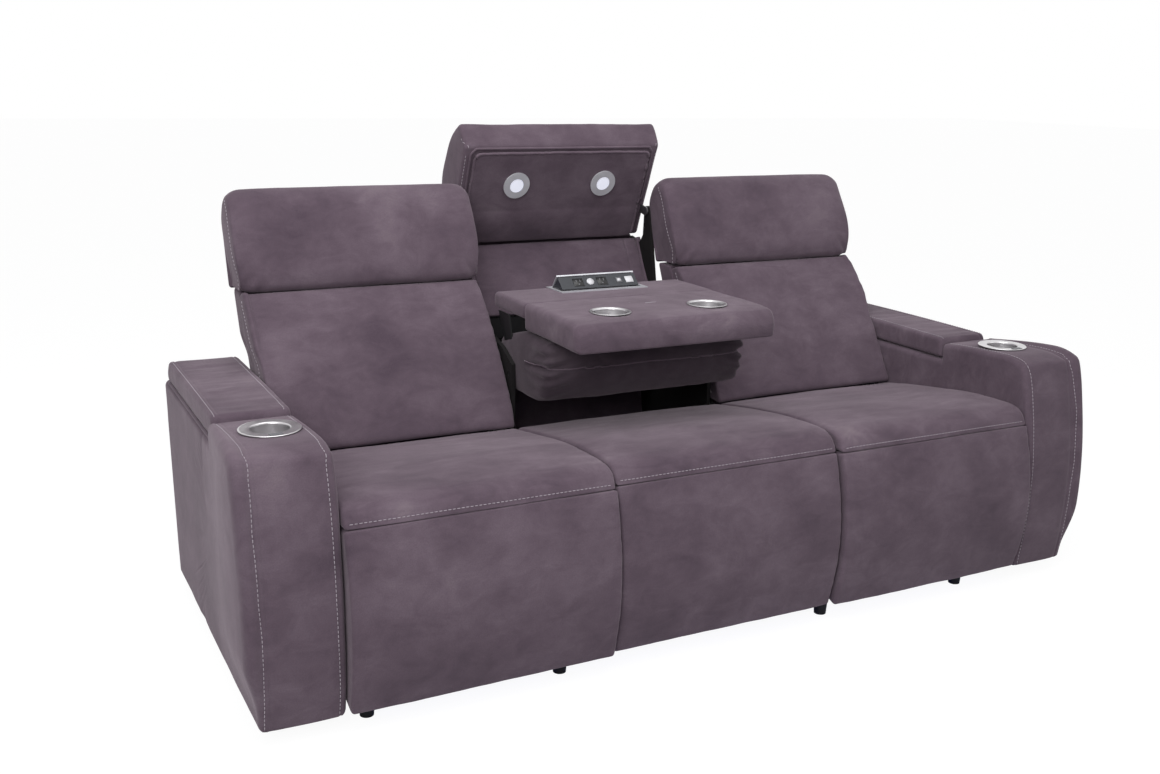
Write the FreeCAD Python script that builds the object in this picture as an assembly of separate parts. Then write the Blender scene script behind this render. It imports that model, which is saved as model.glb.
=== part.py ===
import FreeCAD, Part
import os
from math import atan2, cos, hypot, radians, sin
from FreeCAD import Vector

# Three-seat reclining sofa, in millimetres. X runs along the seats with its
# zero in the middle, Y runs from the front to the back, Z is up from the floor.
# Side outlines are (y, z) pairs with y counted from the arms' lower front edge.
# DEPTH_CENTRE moves them at the end, so that the origin is under the middle.
OVERALL_WIDTH = 2210.0
ARM_WIDTH = 176.0
KNUCKLE_PROUD = 2.5
MODULE_WIDTH = (OVERALL_WIDTH - 2 * ARM_WIDTH) / 3
SEAT_X = MODULE_WIDTH
SIDE_GAP = 3.0
BODY_HALF = MODULE_WIDTH / 2 - SIDE_GAP
DEPTH_CENTRE = 516.8
SEAT_STEP_BACK = 20.0

# Base frame, feet and mechanism
FLOOR_CLEARANCE = 38.0
RAIL_HEIGHT = 36.0
RAIL_TOP = FLOOR_CLEARANCE + RAIL_HEIGHT
RAIL_FRONT_Y = 62.0
FOOT_X = (-874.0, -421.0, 318.0, 771.0)
RAIL_REAR_Y = 898.0
RAIL_WIDTH = 36.0
PLATE_OFFSET = 300.0
PLATE_THICK = 4.0
BACK_HINGE = (600.0, 400.0)
PIN_FIT = 0.05

# Footrest linkage, closed: base pivot, elbow and board pivot
LINK_BASE = (150.0, 260.0)
LINK_ELBOW = (230.0, 120.0)
LINK_BOARD = (68.0, 300.0)
LINK_PIN_R = 5.0
LINK_HALF = 12.0

# Fold-down console: hinge, widths and the lean of the folded-up position
CONSOLE_HINGE = (600.0, 560.0)
CONSOLE_FOLD = 121.0
CONSOLE_FRONT_HALF = 284.0
CONSOLE_REAR_HALF = 292.0
CONSOLE_REAR_LOW = 712.0
CONSOLE_TOP_Z = 752.0
CUP_X = 140.0
CUP_Y = 363.0
CUP_R = 46.0
CUP_DEPTH = 60.0
POWER_HINGE = (735.0, 754.0)

# Middle headrest, raised
HEADREST_HINGE = (949.0, 924.0)
LIGHT_X = 136.5

# Arms
ARM_OUTER = OVERALL_WIDTH / 2 - KNUCKLE_PROUD
ARM_INNER = OVERALL_WIDTH / 2 - ARM_WIDTH
ARM_CUP_Y = 199.0
ARM_CUP_R = 43.0
ARM_RING_R = 64.5
ARM_TOP_Z = 602.0
LID_FRONT_Y = 345.0
LID_REAR_Y = 905.0
LID_HINGE_Z = 546.0

# Soft bodies: how full each cross-section is, from one end to the other
SOFT_STATIONS = ((-1.0, 0.0), (-0.94, 0.5), (-0.72, 0.85), (0.0, 1.0),
                 (0.72, 0.85), (0.94, 0.5), (1.0, 0.0))


def folded(along, behind):
    """The (y, z) point at a distance up the folded console's face and behind it."""
    a = radians(CONSOLE_FOLD)
    return (CONSOLE_HINGE[0] - along * cos(a) + behind * sin(a),
            CONSOLE_HINGE[1] + along * sin(a) + behind * cos(a))


def prism(outline, x_from, x_to):
    """A straight body with a polygon (y, z) outline, between two x planes."""
    points = [Vector(x_from, y, z) for y, z in outline]
    face = Part.Face(Part.makePolygon(points + points[:1]))
    return face.extrude(Vector(x_to - x_from, 0, 0))


def block(x_from, x_to, y_from, y_to, z_from, z_to):
    return Part.makeBox(x_to - x_from, y_to - y_from, z_to - z_from, Vector(x_from, y_from, z_from))


def rod(centre, radius, x_from, x_to):
    """A round bar along X through a (y, z) point."""
    return Part.makeCylinder(radius, x_to - x_from, Vector(x_from, centre[0], centre[1]), Vector(1, 0, 0))


def upright(x, y, z_from, z_to, radius):
    return Part.makeCylinder(radius, z_to - z_from, Vector(x, y, z_from))


def joined(shapes):
    body = shapes[0].fuse(shapes[1:])
    return body.removeSplitter()


def soft_section(x, corners, crowns, fullness, draw_in):
    """A closed wire whose corners draw in and whose sides flatten as fullness falls."""
    mid_y = sum(c[0] for c in corners) / len(corners)
    mid_z = sum(c[1] for c in corners) / len(corners)
    points = []
    for y, z in corners:
        reach = hypot(mid_y - y, mid_z - z)
        step = draw_in * (1 - fullness) / reach
        points.append((y + (mid_y - y) * step, z + (mid_z - z) * step))
    edges = []
    for index, start in enumerate(points):
        end = points[(index + 1) % len(points)]
        a = Vector(x, start[0], start[1])
        b = Vector(x, end[0], end[1])
        crown = crowns[index] * (0.3 + 0.7 * fullness)
        if crown == 0:
            edges.append(Part.LineSegment(a, b).toShape())
            continue
        length = hypot(end[0] - start[0], end[1] - start[1])
        out_y = (end[1] - start[1]) / length
        out_z = -(end[0] - start[0]) / length
        middle = Vector(x, (start[0] + end[0]) / 2 + out_y * crown, (start[1] + end[1]) / 2 + out_z * crown)
        edges.append(Part.Arc(a, middle, b).toShape())
    return Part.Wire(edges)


def soft_body(centre_x, half_width, corners, crowns, draw_in, stations=SOFT_STATIONS):
    """A crowned cushion: corners run clockwise from the front, seen from +X's far side."""
    wires = [soft_section(centre_x + half_width * place, corners, crowns, fullness, draw_in)
             for place, fullness in stations]
    return Part.makeLoft(wires, True, True)


def link(start, end, half, x_from, x_to, holes=()):
    """A flat bar with round ends between two (y, z) pivots."""
    angle = atan2(end[1] - start[1], end[0] - start[0])
    across_y = -sin(angle) * half
    across_z = cos(angle) * half
    outline = [(start[0] + across_y, start[1] + across_z), (end[0] + across_y, end[1] + across_z),
               (end[0] - across_y, end[1] - across_z), (start[0] - across_y, start[1] - across_z)]
    bar = joined([prism(outline, x_from, x_to), rod(start, half, x_from, x_to), rod(end, half, x_from, x_to)])
    for centre, radius in holes:
        bar = bar.cut(rod(centre, radius, x_from - 1, x_to + 1))
    return bar


def on_side(centre_x, side, near, far):
    """An x range that lies near..far from a centre, on its left or right."""
    ends = sorted((centre_x + side * near, centre_x + side * far))
    return ends[0], ends[1]


def save(name, shape):
    moved = shape.copy()
    moved.translate(Vector(0, -DEPTH_CENTRE, 0))
    moved.exportStep("parts/%s.step" % name)
    box = moved.BoundBox
    print("%-26s x %7.1f %7.1f  y %7.1f %7.1f  z %7.1f %7.1f  valid %s" % (
        name, box.XMin, box.XMax, box.YMin, box.YMax, box.ZMin, box.ZMax, moved.isValid()))
    return moved


def base_frame():
    """Welded rails under the three seats."""
    half = ARM_INNER - SIDE_GAP
    rails = []
    for y in (RAIL_FRONT_Y, RAIL_REAR_Y - RAIL_WIDTH):
        rails.append(block(-half, half, y, y + RAIL_WIDTH, FLOOR_CLEARANCE, RAIL_TOP))
    rail_x = SEAT_X - PLATE_OFFSET - PLATE_THICK
    for inner, outer in ((rail_x - 12, rail_x + 12), (half - 24, half)):
        for side in (-1, 1):
            low, high = on_side(0, side, inner, outer)
            rails.append(block(low, high, RAIL_FRONT_Y, RAIL_REAR_Y, FLOOR_CLEARANCE, RAIL_TOP))
    return joined(rails)


def feet():
    """Eight turned feet under the front and rear rails."""
    bodies = []
    for y in (RAIL_FRONT_Y - 12, RAIL_REAR_Y - RAIL_WIDTH / 2):
        for x in FOOT_X:
            bodies.append(Part.makeCone(15, 18, FLOOR_CLEARANCE, Vector(x, y, 0)))
    return Part.makeCompound(bodies)


def led_strip():
    half = ARM_INNER - 40
    return block(-half, half, RAIL_FRONT_Y - 6, RAIL_FRONT_Y, FLOOR_CLEARANCE + 2, FLOOR_CLEARANCE + 12)


def arm_outline():
    """Corners and side crowns of the arm, seen from the side, clockwise from the front bottom."""
    corners = [(0, 35), (903, 35), (950, 544), (LID_FRONT_Y - 5, 544), (LID_FRONT_Y - 5, 590),
               (140, 604), (66, 602), (24, 560)]
    crowns = [0, 0, 0, 0, 2, 1.5, 12, 29]
    return corners, crowns


def arm_cover(side):
    """Padded arm shell, hollow for its frame, the storage bin and the cup."""
    corners, crowns = arm_outline()
    middle = side * (ARM_INNER + ARM_OUTER) / 2
    half = (ARM_OUTER - ARM_INNER) / 2
    stations = ((-1.0, 0.0), (-0.86, 0.75), (-0.5, 1.0), (0.5, 1.0), (0.86, 0.75), (1.0, 0.0))
    shell = soft_body(middle, half, corners, crowns, 9, stations)
    shell = shell.cut(block(middle - 66, middle + 66, 26, 890, 50, 530))
    shell = shell.cut(block(middle - 54, middle + 54, 400, 880, 500, 560))
    return shell.cut(upright(middle, ARM_CUP_Y, 500, 640, ARM_CUP_R + 1))


def arm_frames():
    """A plywood box in each arm: bottom, sides and ends, open at the top."""
    boxes = []
    for side in (-1, 1):
        middle = side * (ARM_INNER + ARM_OUTER) / 2
        box = block(middle - 65.5, middle + 65.5, 26.5, 889.5, 50.5, 529.5)
        boxes.append(box.cut(block(middle - 54, middle + 54, 39, 877, 62, 540)))
    return Part.makeCompound(boxes)


def storage_bin(side):
    """A thin tray that hangs in the arm by a rim."""
    middle = side * (ARM_INNER + ARM_OUTER) / 2
    tray = block(middle - 53, middle + 53, 401, 876, 330, 543)
    return tray.cut(block(middle - 50, middle + 50, 404, 873, 333, 545))


def arm_cup(side):
    """Steel cup with a wide flat ring."""
    middle = side * (ARM_INNER + ARM_OUTER) / 2
    ring = upright(middle, ARM_CUP_Y, ARM_TOP_Z + 3, ARM_TOP_Z + 6, ARM_RING_R)
    cup = upright(middle, ARM_CUP_Y, ARM_TOP_Z - 76, ARM_TOP_Z + 4, ARM_CUP_R)
    body = joined([ring, cup])
    return body.cut(upright(middle, ARM_CUP_Y, ARM_TOP_Z - 74, ARM_TOP_Z + 20, ARM_CUP_R - 2))


def touch_pads():
    """A flat control pad on the front of each arm's ring."""
    pads = []
    for side in (-1, 1):
        middle = side * (ARM_INNER + ARM_OUTER) / 2
        pads.append(block(middle - 14, middle + 14, ARM_CUP_Y - 60, ARM_CUP_Y - 47,
                          ARM_TOP_Z + 6, ARM_TOP_Z + 7.5))
    return Part.makeCompound(pads)


def lid_hinge_parts():
    """Piano hinges of both arm lids: fixed leaves with pins, and the two moving leaves."""
    pin_r = 1.2
    knuckle_r = KNUCKLE_PROUD
    count = 9
    length = (LID_REAR_Y - LID_FRONT_Y - 60) / count
    fixed = []
    moving = {}
    for side in (-1, 1):
        x = side * ARM_OUTER
        low, high = on_side(0, side, ARM_OUTER - 26, ARM_OUTER)
        start = LID_FRONT_Y + 30
        span = length * count
        fixed_leaf = [block(low, high, start, start + span, LID_HINGE_Z - 1.6, LID_HINGE_Z - 0.4)]
        moving_leaf = [block(low, high, start, start + span, LID_HINGE_Z + 0.4, LID_HINGE_Z + 1.6)]
        for index in range(count):
            y = start + index * length
            at = Vector(x, y + 0.5, LID_HINGE_Z)
            knuckle = Part.makeCylinder(knuckle_r, length - 1, at, Vector(0, 1, 0))
            if index % 2:
                moving_leaf.append(knuckle)
            else:
                fixed_leaf.append(knuckle)
        pin = Part.makeCylinder(pin_r, span, Vector(x, start, LID_HINGE_Z), Vector(0, 1, 0))
        bore = Part.makeCylinder(pin_r + PIN_FIT, span, Vector(x, start, LID_HINGE_Z), Vector(0, 1, 0))
        leaf = joined(fixed_leaf)
        other = joined(moving_leaf)
        for index in range(count):
            y = start + index * length
            room = Part.makeCylinder(knuckle_r + 0.6, length, Vector(x, y, LID_HINGE_Z), Vector(0, 1, 0))
            at = Vector(x, y + 0.5, LID_HINGE_Z)
            knuckle = Part.makeCylinder(knuckle_r, length - 1, at, Vector(0, 1, 0))
            if index % 2:
                leaf = leaf.cut(room.cut(knuckle)).cut(knuckle)
            else:
                other = other.cut(room)
        fixed.append(joined([leaf, pin]))
        moving[side] = other.cut(bore)
    return Part.makeCompound(fixed), moving


def arm_lid(side):
    """Padded lid over the storage bin."""
    middle = side * (ARM_INNER + ARM_OUTER) / 2
    half = (ARM_OUTER - ARM_INNER) / 2 - 3.2
    bottom = LID_HINGE_Z + 1.7
    corners = [(LID_FRONT_Y, bottom), (LID_REAR_Y + 20, bottom), (LID_REAR_Y + 5, 590),
               (LID_REAR_Y - 20, 603), (LID_FRONT_Y + 8, 602)]
    crowns = [0, 6, 4, 2, 3]
    stations = ((-1.0, 0.0), (-0.88, 0.75), (-0.5, 1.0), (0.5, 1.0), (0.88, 0.75), (1.0, 0.0))
    return soft_body(middle, half, corners, crowns, 8, stations)


def seat_cushion(centre_x, back_step):
    """Crowned seat: front roll, domed top that falls to the back, flat underside."""
    corners = [(2 + back_step, 441), (70 + back_step, 437), (92, 328), (574, 328), (543, 424),
               (300, 468), (62 + back_step, 478)]
    crowns = [0, 0, 0, 0, 3, 4, 14]
    return soft_body(centre_x, BODY_HALF, corners, crowns, 14)


def seat_decks():
    """Webbed boards that carry the seat cushions."""
    decks = []
    for centre in (-SEAT_X, 0, SEAT_X):
        decks.append(block(centre - 280, centre + 280, 96, 562, 313, 327))
    return Part.makeCompound(decks)


def front_pad(centre_x, back_step):
    """Convex padded front below the seat."""
    corners = [(-8 + back_step, 40), (34 + back_step, 58), (44 + back_step, 432), (4 + back_step, 436)]
    crowns = [0, 0, 0, 36]
    return soft_body(centre_x, BODY_HALF, corners, crowns, 8)


def footrest_board(centre_x):
    """Board behind the footrest pad, with an ear at each end for the links."""
    board = prism([(35, 66), (45.5, 66), (54.5, 426), (44.5, 426)], centre_x - 292, centre_x + 292)
    pieces = [board]
    for side in (-1, 1):
        low, high = on_side(centre_x, side, PLATE_OFFSET - 18, PLATE_OFFSET - 14)
        ear = [(50, 262), (53, 338), (LINK_BOARD[0], LINK_BOARD[1] + 12),
               (LINK_BOARD[0] + 11, LINK_BOARD[1]), (LINK_BOARD[0], LINK_BOARD[1] - 12)]
        pieces.append(prism(ear, low, high))
    body = joined(pieces)
    return body.cut(rod(LINK_BOARD, LINK_PIN_R + PIN_FIT, centre_x - 300, centre_x + 300))


def drive_links(centre_x):
    """Inner pair of links on a cross tube, with their base and elbow pins."""
    tube_at = (LINK_BASE[0] * 0.7 + LINK_ELBOW[0] * 0.3, LINK_BASE[1] * 0.7 + LINK_ELBOW[1] * 0.3)
    pieces = [rod(tube_at, 8, centre_x - PLATE_OFFSET + 4, centre_x + PLATE_OFFSET - 4)]
    for side in (-1, 1):
        low, high = on_side(centre_x, side, PLATE_OFFSET - 6, PLATE_OFFSET - 2)
        pieces.append(link(LINK_BASE, LINK_ELBOW, LINK_HALF, low, high))
        low, high = on_side(centre_x, side, PLATE_OFFSET - 4, PLATE_OFFSET + PLATE_THICK + 1)
        pieces.append(rod(LINK_BASE, LINK_PIN_R, low, high))
        low, high = on_side(centre_x, side, PLATE_OFFSET - 13, PLATE_OFFSET - 4)
        pieces.append(rod(LINK_ELBOW, LINK_PIN_R, low, high))
    return joined(pieces)


def carrier_links(centre_x):
    """Outer pair of links, from the elbow to the board, with the board pins."""
    pairs = []
    for side in (-1, 1):
        low, high = on_side(centre_x, side, PLATE_OFFSET - 12, PLATE_OFFSET - 8)
        bar = link(LINK_ELBOW, LINK_BOARD, LINK_HALF, low, high, [(LINK_ELBOW, LINK_PIN_R + PIN_FIT)])
        low, high = on_side(centre_x, side, PLATE_OFFSET - 19, PLATE_OFFSET - 10)
        pairs.append(joined([bar, rod(LINK_BOARD, LINK_PIN_R, low, high)]))
    return Part.makeCompound(pairs)


def mechanism_plates():
    """Upright steel plates: two for each reclining seat."""
    outline = [(100, RAIL_TOP), (100, 276), (170, 290), (560, 300), (581, 322), (582, BACK_HINGE[1]),
               (618, BACK_HINGE[1]), (640, 296), (650, RAIL_TOP)]
    plates = []
    for centre in (-SEAT_X, SEAT_X):
        for side in (-1, 1):
            low, high = on_side(centre, side, PLATE_OFFSET, PLATE_OFFSET + PLATE_THICK)
            plate = joined([prism(outline, low, high), rod(BACK_HINGE, 18, low, high)])
            plate = plate.cut(rod(BACK_HINGE, 6 + PIN_FIT, low - 1, high + 1))
            plates.append(plate.cut(rod(LINK_BASE, LINK_PIN_R + PIN_FIT, low - 1, high + 1)))
    return Part.makeCompound(plates)


def drive_motors():
    """Actuators under the seats: a motor can beside a rail, on a cradle."""
    motors = []
    for centre in (-SEAT_X, SEAT_X):
        can = Part.makeCylinder(30, 120, Vector(centre + 45, 300, 118), Vector(0, 1, 0))
        case = block(centre - 30, centre + 60, 420, 470, 88, 150)
        rail = block(centre - 22, centre + 22, 210, 420, 96, 140)
        cradle = block(centre - 292, centre + 292, 430, 460, RAIL_TOP, 88)
        motors.append(joined([can, case, rail, cradle]))
    return Part.makeCompound(motors)


def power_supply():
    tray = block(-100, 100, 650, 862, FLOOR_CLEARANCE + 20, RAIL_TOP)
    return block(-90, 90, 660, 740, RAIL_TOP, 124).fuse(tray)


def back_frame(centre_x):
    """Stiles, cross members, hinge lugs with pins and two headrest plates."""
    line_low = (640.0, 438.0)
    line_high = (838.0, 760.0)
    along = (0.523, 0.852)
    behind = (0.852, -0.523)
    thick = 14.0
    stile = [line_low, line_high,
             (line_high[0] + behind[0] * thick, line_high[1] + behind[1] * thick),
             (line_low[0] + behind[0] * thick, line_low[1] + behind[1] * thick)]
    pieces = []
    for side in (-1, 1):
        low, high = on_side(centre_x, side, 262, 290)
        pieces.append(prism(stile, low, high))
        low, high = on_side(centre_x, side, PLATE_OFFSET - 14, PLATE_OFFSET - 2)
        lug = [(600, 384), (662, 412), (658, 440), (644, 442), (600, 416)]
        pieces.append(prism(lug, low, high))
        pieces.append(rod(BACK_HINGE, 16, low, high))
        low, high = on_side(centre_x, side, PLATE_OFFSET - 8, PLATE_OFFSET + PLATE_THICK + 1)
        pieces.append(rod(BACK_HINGE, 6, low, high))
    for fraction in (0.0, 0.44, 0.88):
        start = (line_low[0] + (line_high[0] - line_low[0]) * fraction,
                 line_low[1] + (line_high[1] - line_low[1]) * fraction)
        bar = [start, (start[0] + along[0] * 30, start[1] + along[1] * 30)]
        bar += [(p[0] + behind[0] * thick, p[1] + behind[1] * thick) for p in (bar[1], bar[0])]
        pieces.append(prism(bar, centre_x - 270, centre_x + 270))
    hinge = headrest_hinge()
    for side in (-1, 1):
        low, high = on_side(centre_x, side, 148, 153)
        ear = [(hinge[0] - 2, hinge[1] - 7.5), (842, 766), (832, 748), (824, 733), (836, 727), (866, 762),
               (866, 778), (hinge[0], hinge[1] + 8)]
        plate = joined([prism(ear, low, high), rod(hinge, 8, low, high)])
        pieces.append(plate)
    body = joined(pieces)
    for side in (-1, 1):
        low, high = on_side(centre_x, side, 147, 154)
        body = body.cut(rod(hinge, 4 + PIN_FIT, low, high))
    return body


def headrest_hinge():
    return (806.0, 786.0)


def headrest_bracket(centre_x):
    """Cross rod and plate inside the head pillow."""
    hinge = headrest_hinge()
    plate = prism([(hinge[0] - 2, hinge[1]), (hinge[0] + 2, hinge[1]),
                   (hinge[0] + 54, hinge[1] + 120), (hinge[0] + 50, hinge[1] + 120)],
                  centre_x - 130, centre_x + 130)
    return joined([rod(hinge, 4, centre_x - 170, centre_x + 170), plate])


def head_pillow(centre_x):
    """Upper pillow that overhangs the crease, slotted for its bracket and the frame's plates."""
    hinge = headrest_hinge()
    corners = [(792, 777), (899, 777), (951, 955), (925, 1018), (872, 1016)]
    crowns = [0, 4, 8, 7, 14]
    pillow = soft_body(centre_x, BODY_HALF, corners, crowns, 10)
    pillow = pillow.cut(rod(hinge, 4.2, centre_x - 170.5, centre_x + 170.5))
    for side in (-1, 1):
        low, high = on_side(centre_x, side, 145, 156)
        pillow = pillow.cut(block(low, high, 780, 920, 760, hinge[1] + 44))
    room = prism([(hinge[0] - 4, hinge[1] - 3), (hinge[0] + 4, hinge[1] - 3),
                  (hinge[0] + 55, hinge[1] + 120.5), (hinge[0] + 49, hinge[1] + 120.5)],
                 centre_x - 130.5, centre_x + 130.5)
    return pillow.cut(room)


def back_cushion(centre_x):
    """Lumbar cushion: crowned face between the seat and the crease."""
    corners = [(552, 439), (637, 439), (835, 759), (789, 771)]
    crowns = [0, 0, 4, 26]
    return soft_body(centre_x, BODY_HALF, corners, crowns, 12)


def back_cover(centre_x):
    """Upholstered outside back, which hangs below the hinge."""
    outline = [(893, 770), (874, 772), (668, 440), (688, 400), (680, 150), (704, 150), (724, 437)]
    return prism(outline, centre_x - PLATE_OFFSET + 3, centre_x + PLATE_OFFSET - 3)


def middle_back_frame():
    """Two side boards joined by rails: they carry the console and the middle headrest."""
    board = [(579, RAIL_TOP), (579, 590), (640, 622), (890, 690), (926, 880), (934, 926),
             (962, 918), (966, 850), (985, 826), (1046, 838), (986, 602), (936, 302), (907, RAIL_TOP)]
    pieces = []
    for side in (-1, 1):
        low, high = on_side(0, side, 296, BODY_HALF)
        pieces.append(prism(board, low, high))
        pieces.append(rod(HEADREST_HINGE, 14.5, low, high))
    for low_s, high_s in ((395, 445), (190, 230)):
        rail = [folded(low_s, 233), folded(high_s, 233), folded(high_s, 248), folded(low_s, 248)]
        pieces.append(prism(rail, -300, 300))
    pieces.append(block(-300, 300, 860, 896, 180, 230))
    body = joined(pieces)
    body = body.cut(rod(HEADREST_HINGE, 5 + PIN_FIT, -310, 310))
    return body.cut(rod(CONSOLE_HINGE, 6 + PIN_FIT, -310, 310))


def middle_back_panel():
    """Padded panel behind the folded console."""
    corners = [folded(450, 207), folded(165, 207), folded(165, 232), folded(450, 232)]
    return prism(corners, -293, 293)


def middle_rear_cover():
    """Upholstered outside back of the middle seat."""
    outline = [(1076, 846), (1053, 846), (988, 600), (938, 300),
               (908, 62), (930, 62), (960, 300), (1010, 600)]
    cover = prism(outline, -BODY_HALF, BODY_HALF)
    return cover.cut(block(-17, 17, 880, 980, 150, 175))


def power_inlet():
    """Socket for the supply lead, low in the middle of the back."""
    body = block(-16.5, 16.5, 905, 949, 150.5, 174.5)
    return body.cut(block(-12, 12, 945.5, 960, 155, 170))


def console_slab():
    """Table side of the console: deep front, thinner rear ends, bored for cups and the power unit."""
    front = soft_body(0, CONSOLE_FRONT_HALF,
                      [(257, 682), (415, 685), (560, 684), (560, 752), (292, 750), (262, 732)],
                      [0, 0, 0, 4, 3, 5], 12)
    rear = prism([(560, 686), (748, 686), (748, 748), (560, 750)], -CONSOLE_REAR_HALF, CONSOLE_REAR_HALF)
    body = front.fuse(rear).removeSplitter()
    for side in (-1, 1):
        low, high = on_side(0, side, CONSOLE_FRONT_HALF - 60, CONSOLE_REAR_HALF + 1)
        body = body.cut(block(low, high, 560, 750, 680, CONSOLE_REAR_LOW))
    for side in (-1, 1):
        body = body.cut(upright(side * CUP_X, CUP_Y, CONSOLE_TOP_Z - CUP_DEPTH - 1, 800, CUP_R + 0.5))
    body = body.cut(block(-125.5, 125.5, 652, 744, 692, 800))
    return body.cut(block(-36, 36, 436, 456, 742, 800))


def console_cup(side):
    """Deep steel cup with a thin rim."""
    x = side * CUP_X
    top = CONSOLE_TOP_Z + 3
    rim = upright(x, CUP_Y, top, top + 2, CUP_R + 6)
    cup = upright(x, CUP_Y, CONSOLE_TOP_Z - CUP_DEPTH, top + 1, CUP_R)
    return joined([rim, cup]).cut(upright(x, CUP_Y, CONSOLE_TOP_Z - CUP_DEPTH + 2, 820, CUP_R - 2))


def console_pull():
    """Flush pull tab."""
    body = block(-35, 35, 437, 455, 743, 755)
    return body.cut(block(-30, 30, 440, 452, 746, 760))


def power_housing():
    """Tub and face plate of the flip-up power unit."""
    tub = block(-125, 125, 653, 743.5, 693, 753)
    plate = block(-131, 131, 645, 746, 753, 755)
    body = joined([tub, plate])
    body = body.cut(block(-121, 121, 665, 739, 696, 760))
    hinge_pin = rod(POWER_HINGE, 1.5, -122, 122)
    return joined([body, hinge_pin])


def power_lid():
    """Metal lid of the power unit, raised, with its hinge eyes."""
    tip = (709.0, 789.5)
    tip_in = (707.0, 787.0)
    angle = atan2(tip[1] - POWER_HINGE[1], tip[0] - POWER_HINGE[0])
    out = (sin(angle) * 1.0, -cos(angle) * 1.0)
    start = (POWER_HINGE[0] + out[0] * 1.2, POWER_HINGE[1] + out[1] * 1.2)
    outline = [start, (tip[0] + out[0], tip[1] + out[1]), tip_in,
               (start[0] - out[0] * 2.2, start[1] - out[1] * 2.2)]
    plate = prism(outline, -118, 118)
    pieces = [plate]
    for x in (-90, 0, 90):
        pieces.append(rod(POWER_HINGE, 3, x - 12, x + 12))
    body = joined(pieces)
    return body.cut(rod(POWER_HINGE, 1.5 + PIN_FIT, -130, 130))


def power_sockets():
    """Wedge with the outlets on its leaning face."""
    wedge = prism([(670, 757), (703.5, 785.5), (728, 757.5)], -117, 117)
    face_y = 689.0
    face_z = 772.0
    normal = Vector(0, -0.62, 0.78)
    for x, half_w in ((-62, 15), (10, 15), (62, 7), (92, 12)):
        cutter = Part.makeBox(half_w * 2, 8, 22, Vector(-half_w, -4, -11))
        cutter.rotate(Vector(0, 0, 0), Vector(1, 0, 0), -51)
        cutter.translate(Vector(x, face_y, face_z) + normal * 2.6)
        wedge = wedge.cut(cutter)
    return wedge


def console_pad():
    """Lumbar side of the console: a full cushion under the table."""
    corners = [(398, 612), (412, 552), (450, 519), (520, 509), (690, 512), (700, 640), (570, 680), (420, 680)]
    crowns = [4, 6, 3, 0, 0, 0, 0, 10]
    return soft_body(0, 284, corners, crowns, 14)


def console_brackets():
    """Steel arms on both sides of the pad, with the pivot pins."""
    pieces = []
    for side in (-1, 1):
        low, high = on_side(0, side, 287, 291)
        arm = joined([prism([(586, 560), (634, 710), (700, 710), (614, 560)], low, high),
                      rod(CONSOLE_HINGE, 14, low, high)])
        low, high = on_side(0, side, 288, BODY_HALF - 1)
        pieces.append(joined([arm, rod(CONSOLE_HINGE, 6, low, high)]))
    return Part.makeCompound(pieces)


def headrest_face():
    """Lower and upper ends of the raised headrest's lit face."""
    return (1000.0, 842.0), (892.0, 1108.0)


def middle_headrest_pillow():
    """Thick pillow of the middle headrest, slotted for its brackets."""
    corners = [(1013, 847.3), (1060, 864), (1074, 1000), (1006, 1132), (942, 1164), (905, 1113.3)]
    crowns = [2, 8, 6, 4, 4, 0]
    pillow = soft_body(0, 302, corners, crowns, 12)
    for bracket in headrest_bracket_arms(0.4):
        pillow = pillow.cut(bracket)
    return pillow


def headrest_bracket_arms(extra):
    arms = []
    for side in (-1, 1):
        low, high = on_side(0, side, 290 - extra, 294 + extra)
        tab = [(946, 911 - extra), (1046, 930 - extra), (1046, 960 + extra), (952, 937 + extra)]
        arms.append(prism(tab, low, high))
    return arms


def middle_headrest_brackets():
    """Bracket arms with the pivot pins."""
    bodies = []
    for side, arm in zip((-1, 1), headrest_bracket_arms(0)):
        low, high = on_side(0, side, 290, 294)
        eye = rod(HEADREST_HINGE, 13.5, low, high)
        low, high = on_side(0, side, 291, BODY_HALF - 1)
        bodies.append(joined([arm, eye, rod(HEADREST_HINGE, 5, low, high)]))
    return Part.makeCompound(bodies)


def face_frame(distance_in):
    """Point on the lit face's line, moved inwards, for a share of its length."""
    low, high = headrest_face()
    length = hypot(high[0] - low[0], high[1] - low[1])
    inward = ((high[1] - low[1]) / length, -(high[0] - low[0]) / length)

    def at(share):
        return (low[0] + (high[0] - low[0]) * share + inward[0] * distance_in,
                low[1] + (high[1] - low[1]) * share + inward[1] * distance_in)
    return at, inward


def middle_headrest_panel():
    """Flat lit face, set into the pillow's rim."""
    outer, _ = face_frame(1.5)
    inner, _ = face_frame(13.6)
    panel = prism([outer(0.02), outer(0.97), inner(0.97), inner(0.02)], -274, 274)
    for side in (-1, 1):
        panel = panel.cut(light_body(side, 26.2, -4, 20))
    return panel


def light_body(side, radius, start, end):
    """A cylinder square to the lit face at a reading light, between two depths."""
    at, inward = face_frame(1.5)
    centre = at(0.636)
    origin = Vector(side * LIGHT_X, centre[0] + inward[0] * start, centre[1] + inward[1] * start)
    return Part.makeCylinder(radius, end - start, origin, Vector(0, inward[0], inward[1]))


def reading_light_rings():
    rings = []
    for side in (-1, 1):
        ring = joined([light_body(side, 39, -4, -0.2), light_body(side, 26, -2, 10)])
        rings.append(ring.cut(light_body(side, 20.5, -6, 12)))
    return Part.makeCompound(rings)


def reading_light_lenses():
    return Part.makeCompound([light_body(side, 20.2, -3, 8) for side in (-1, 1)])


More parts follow.
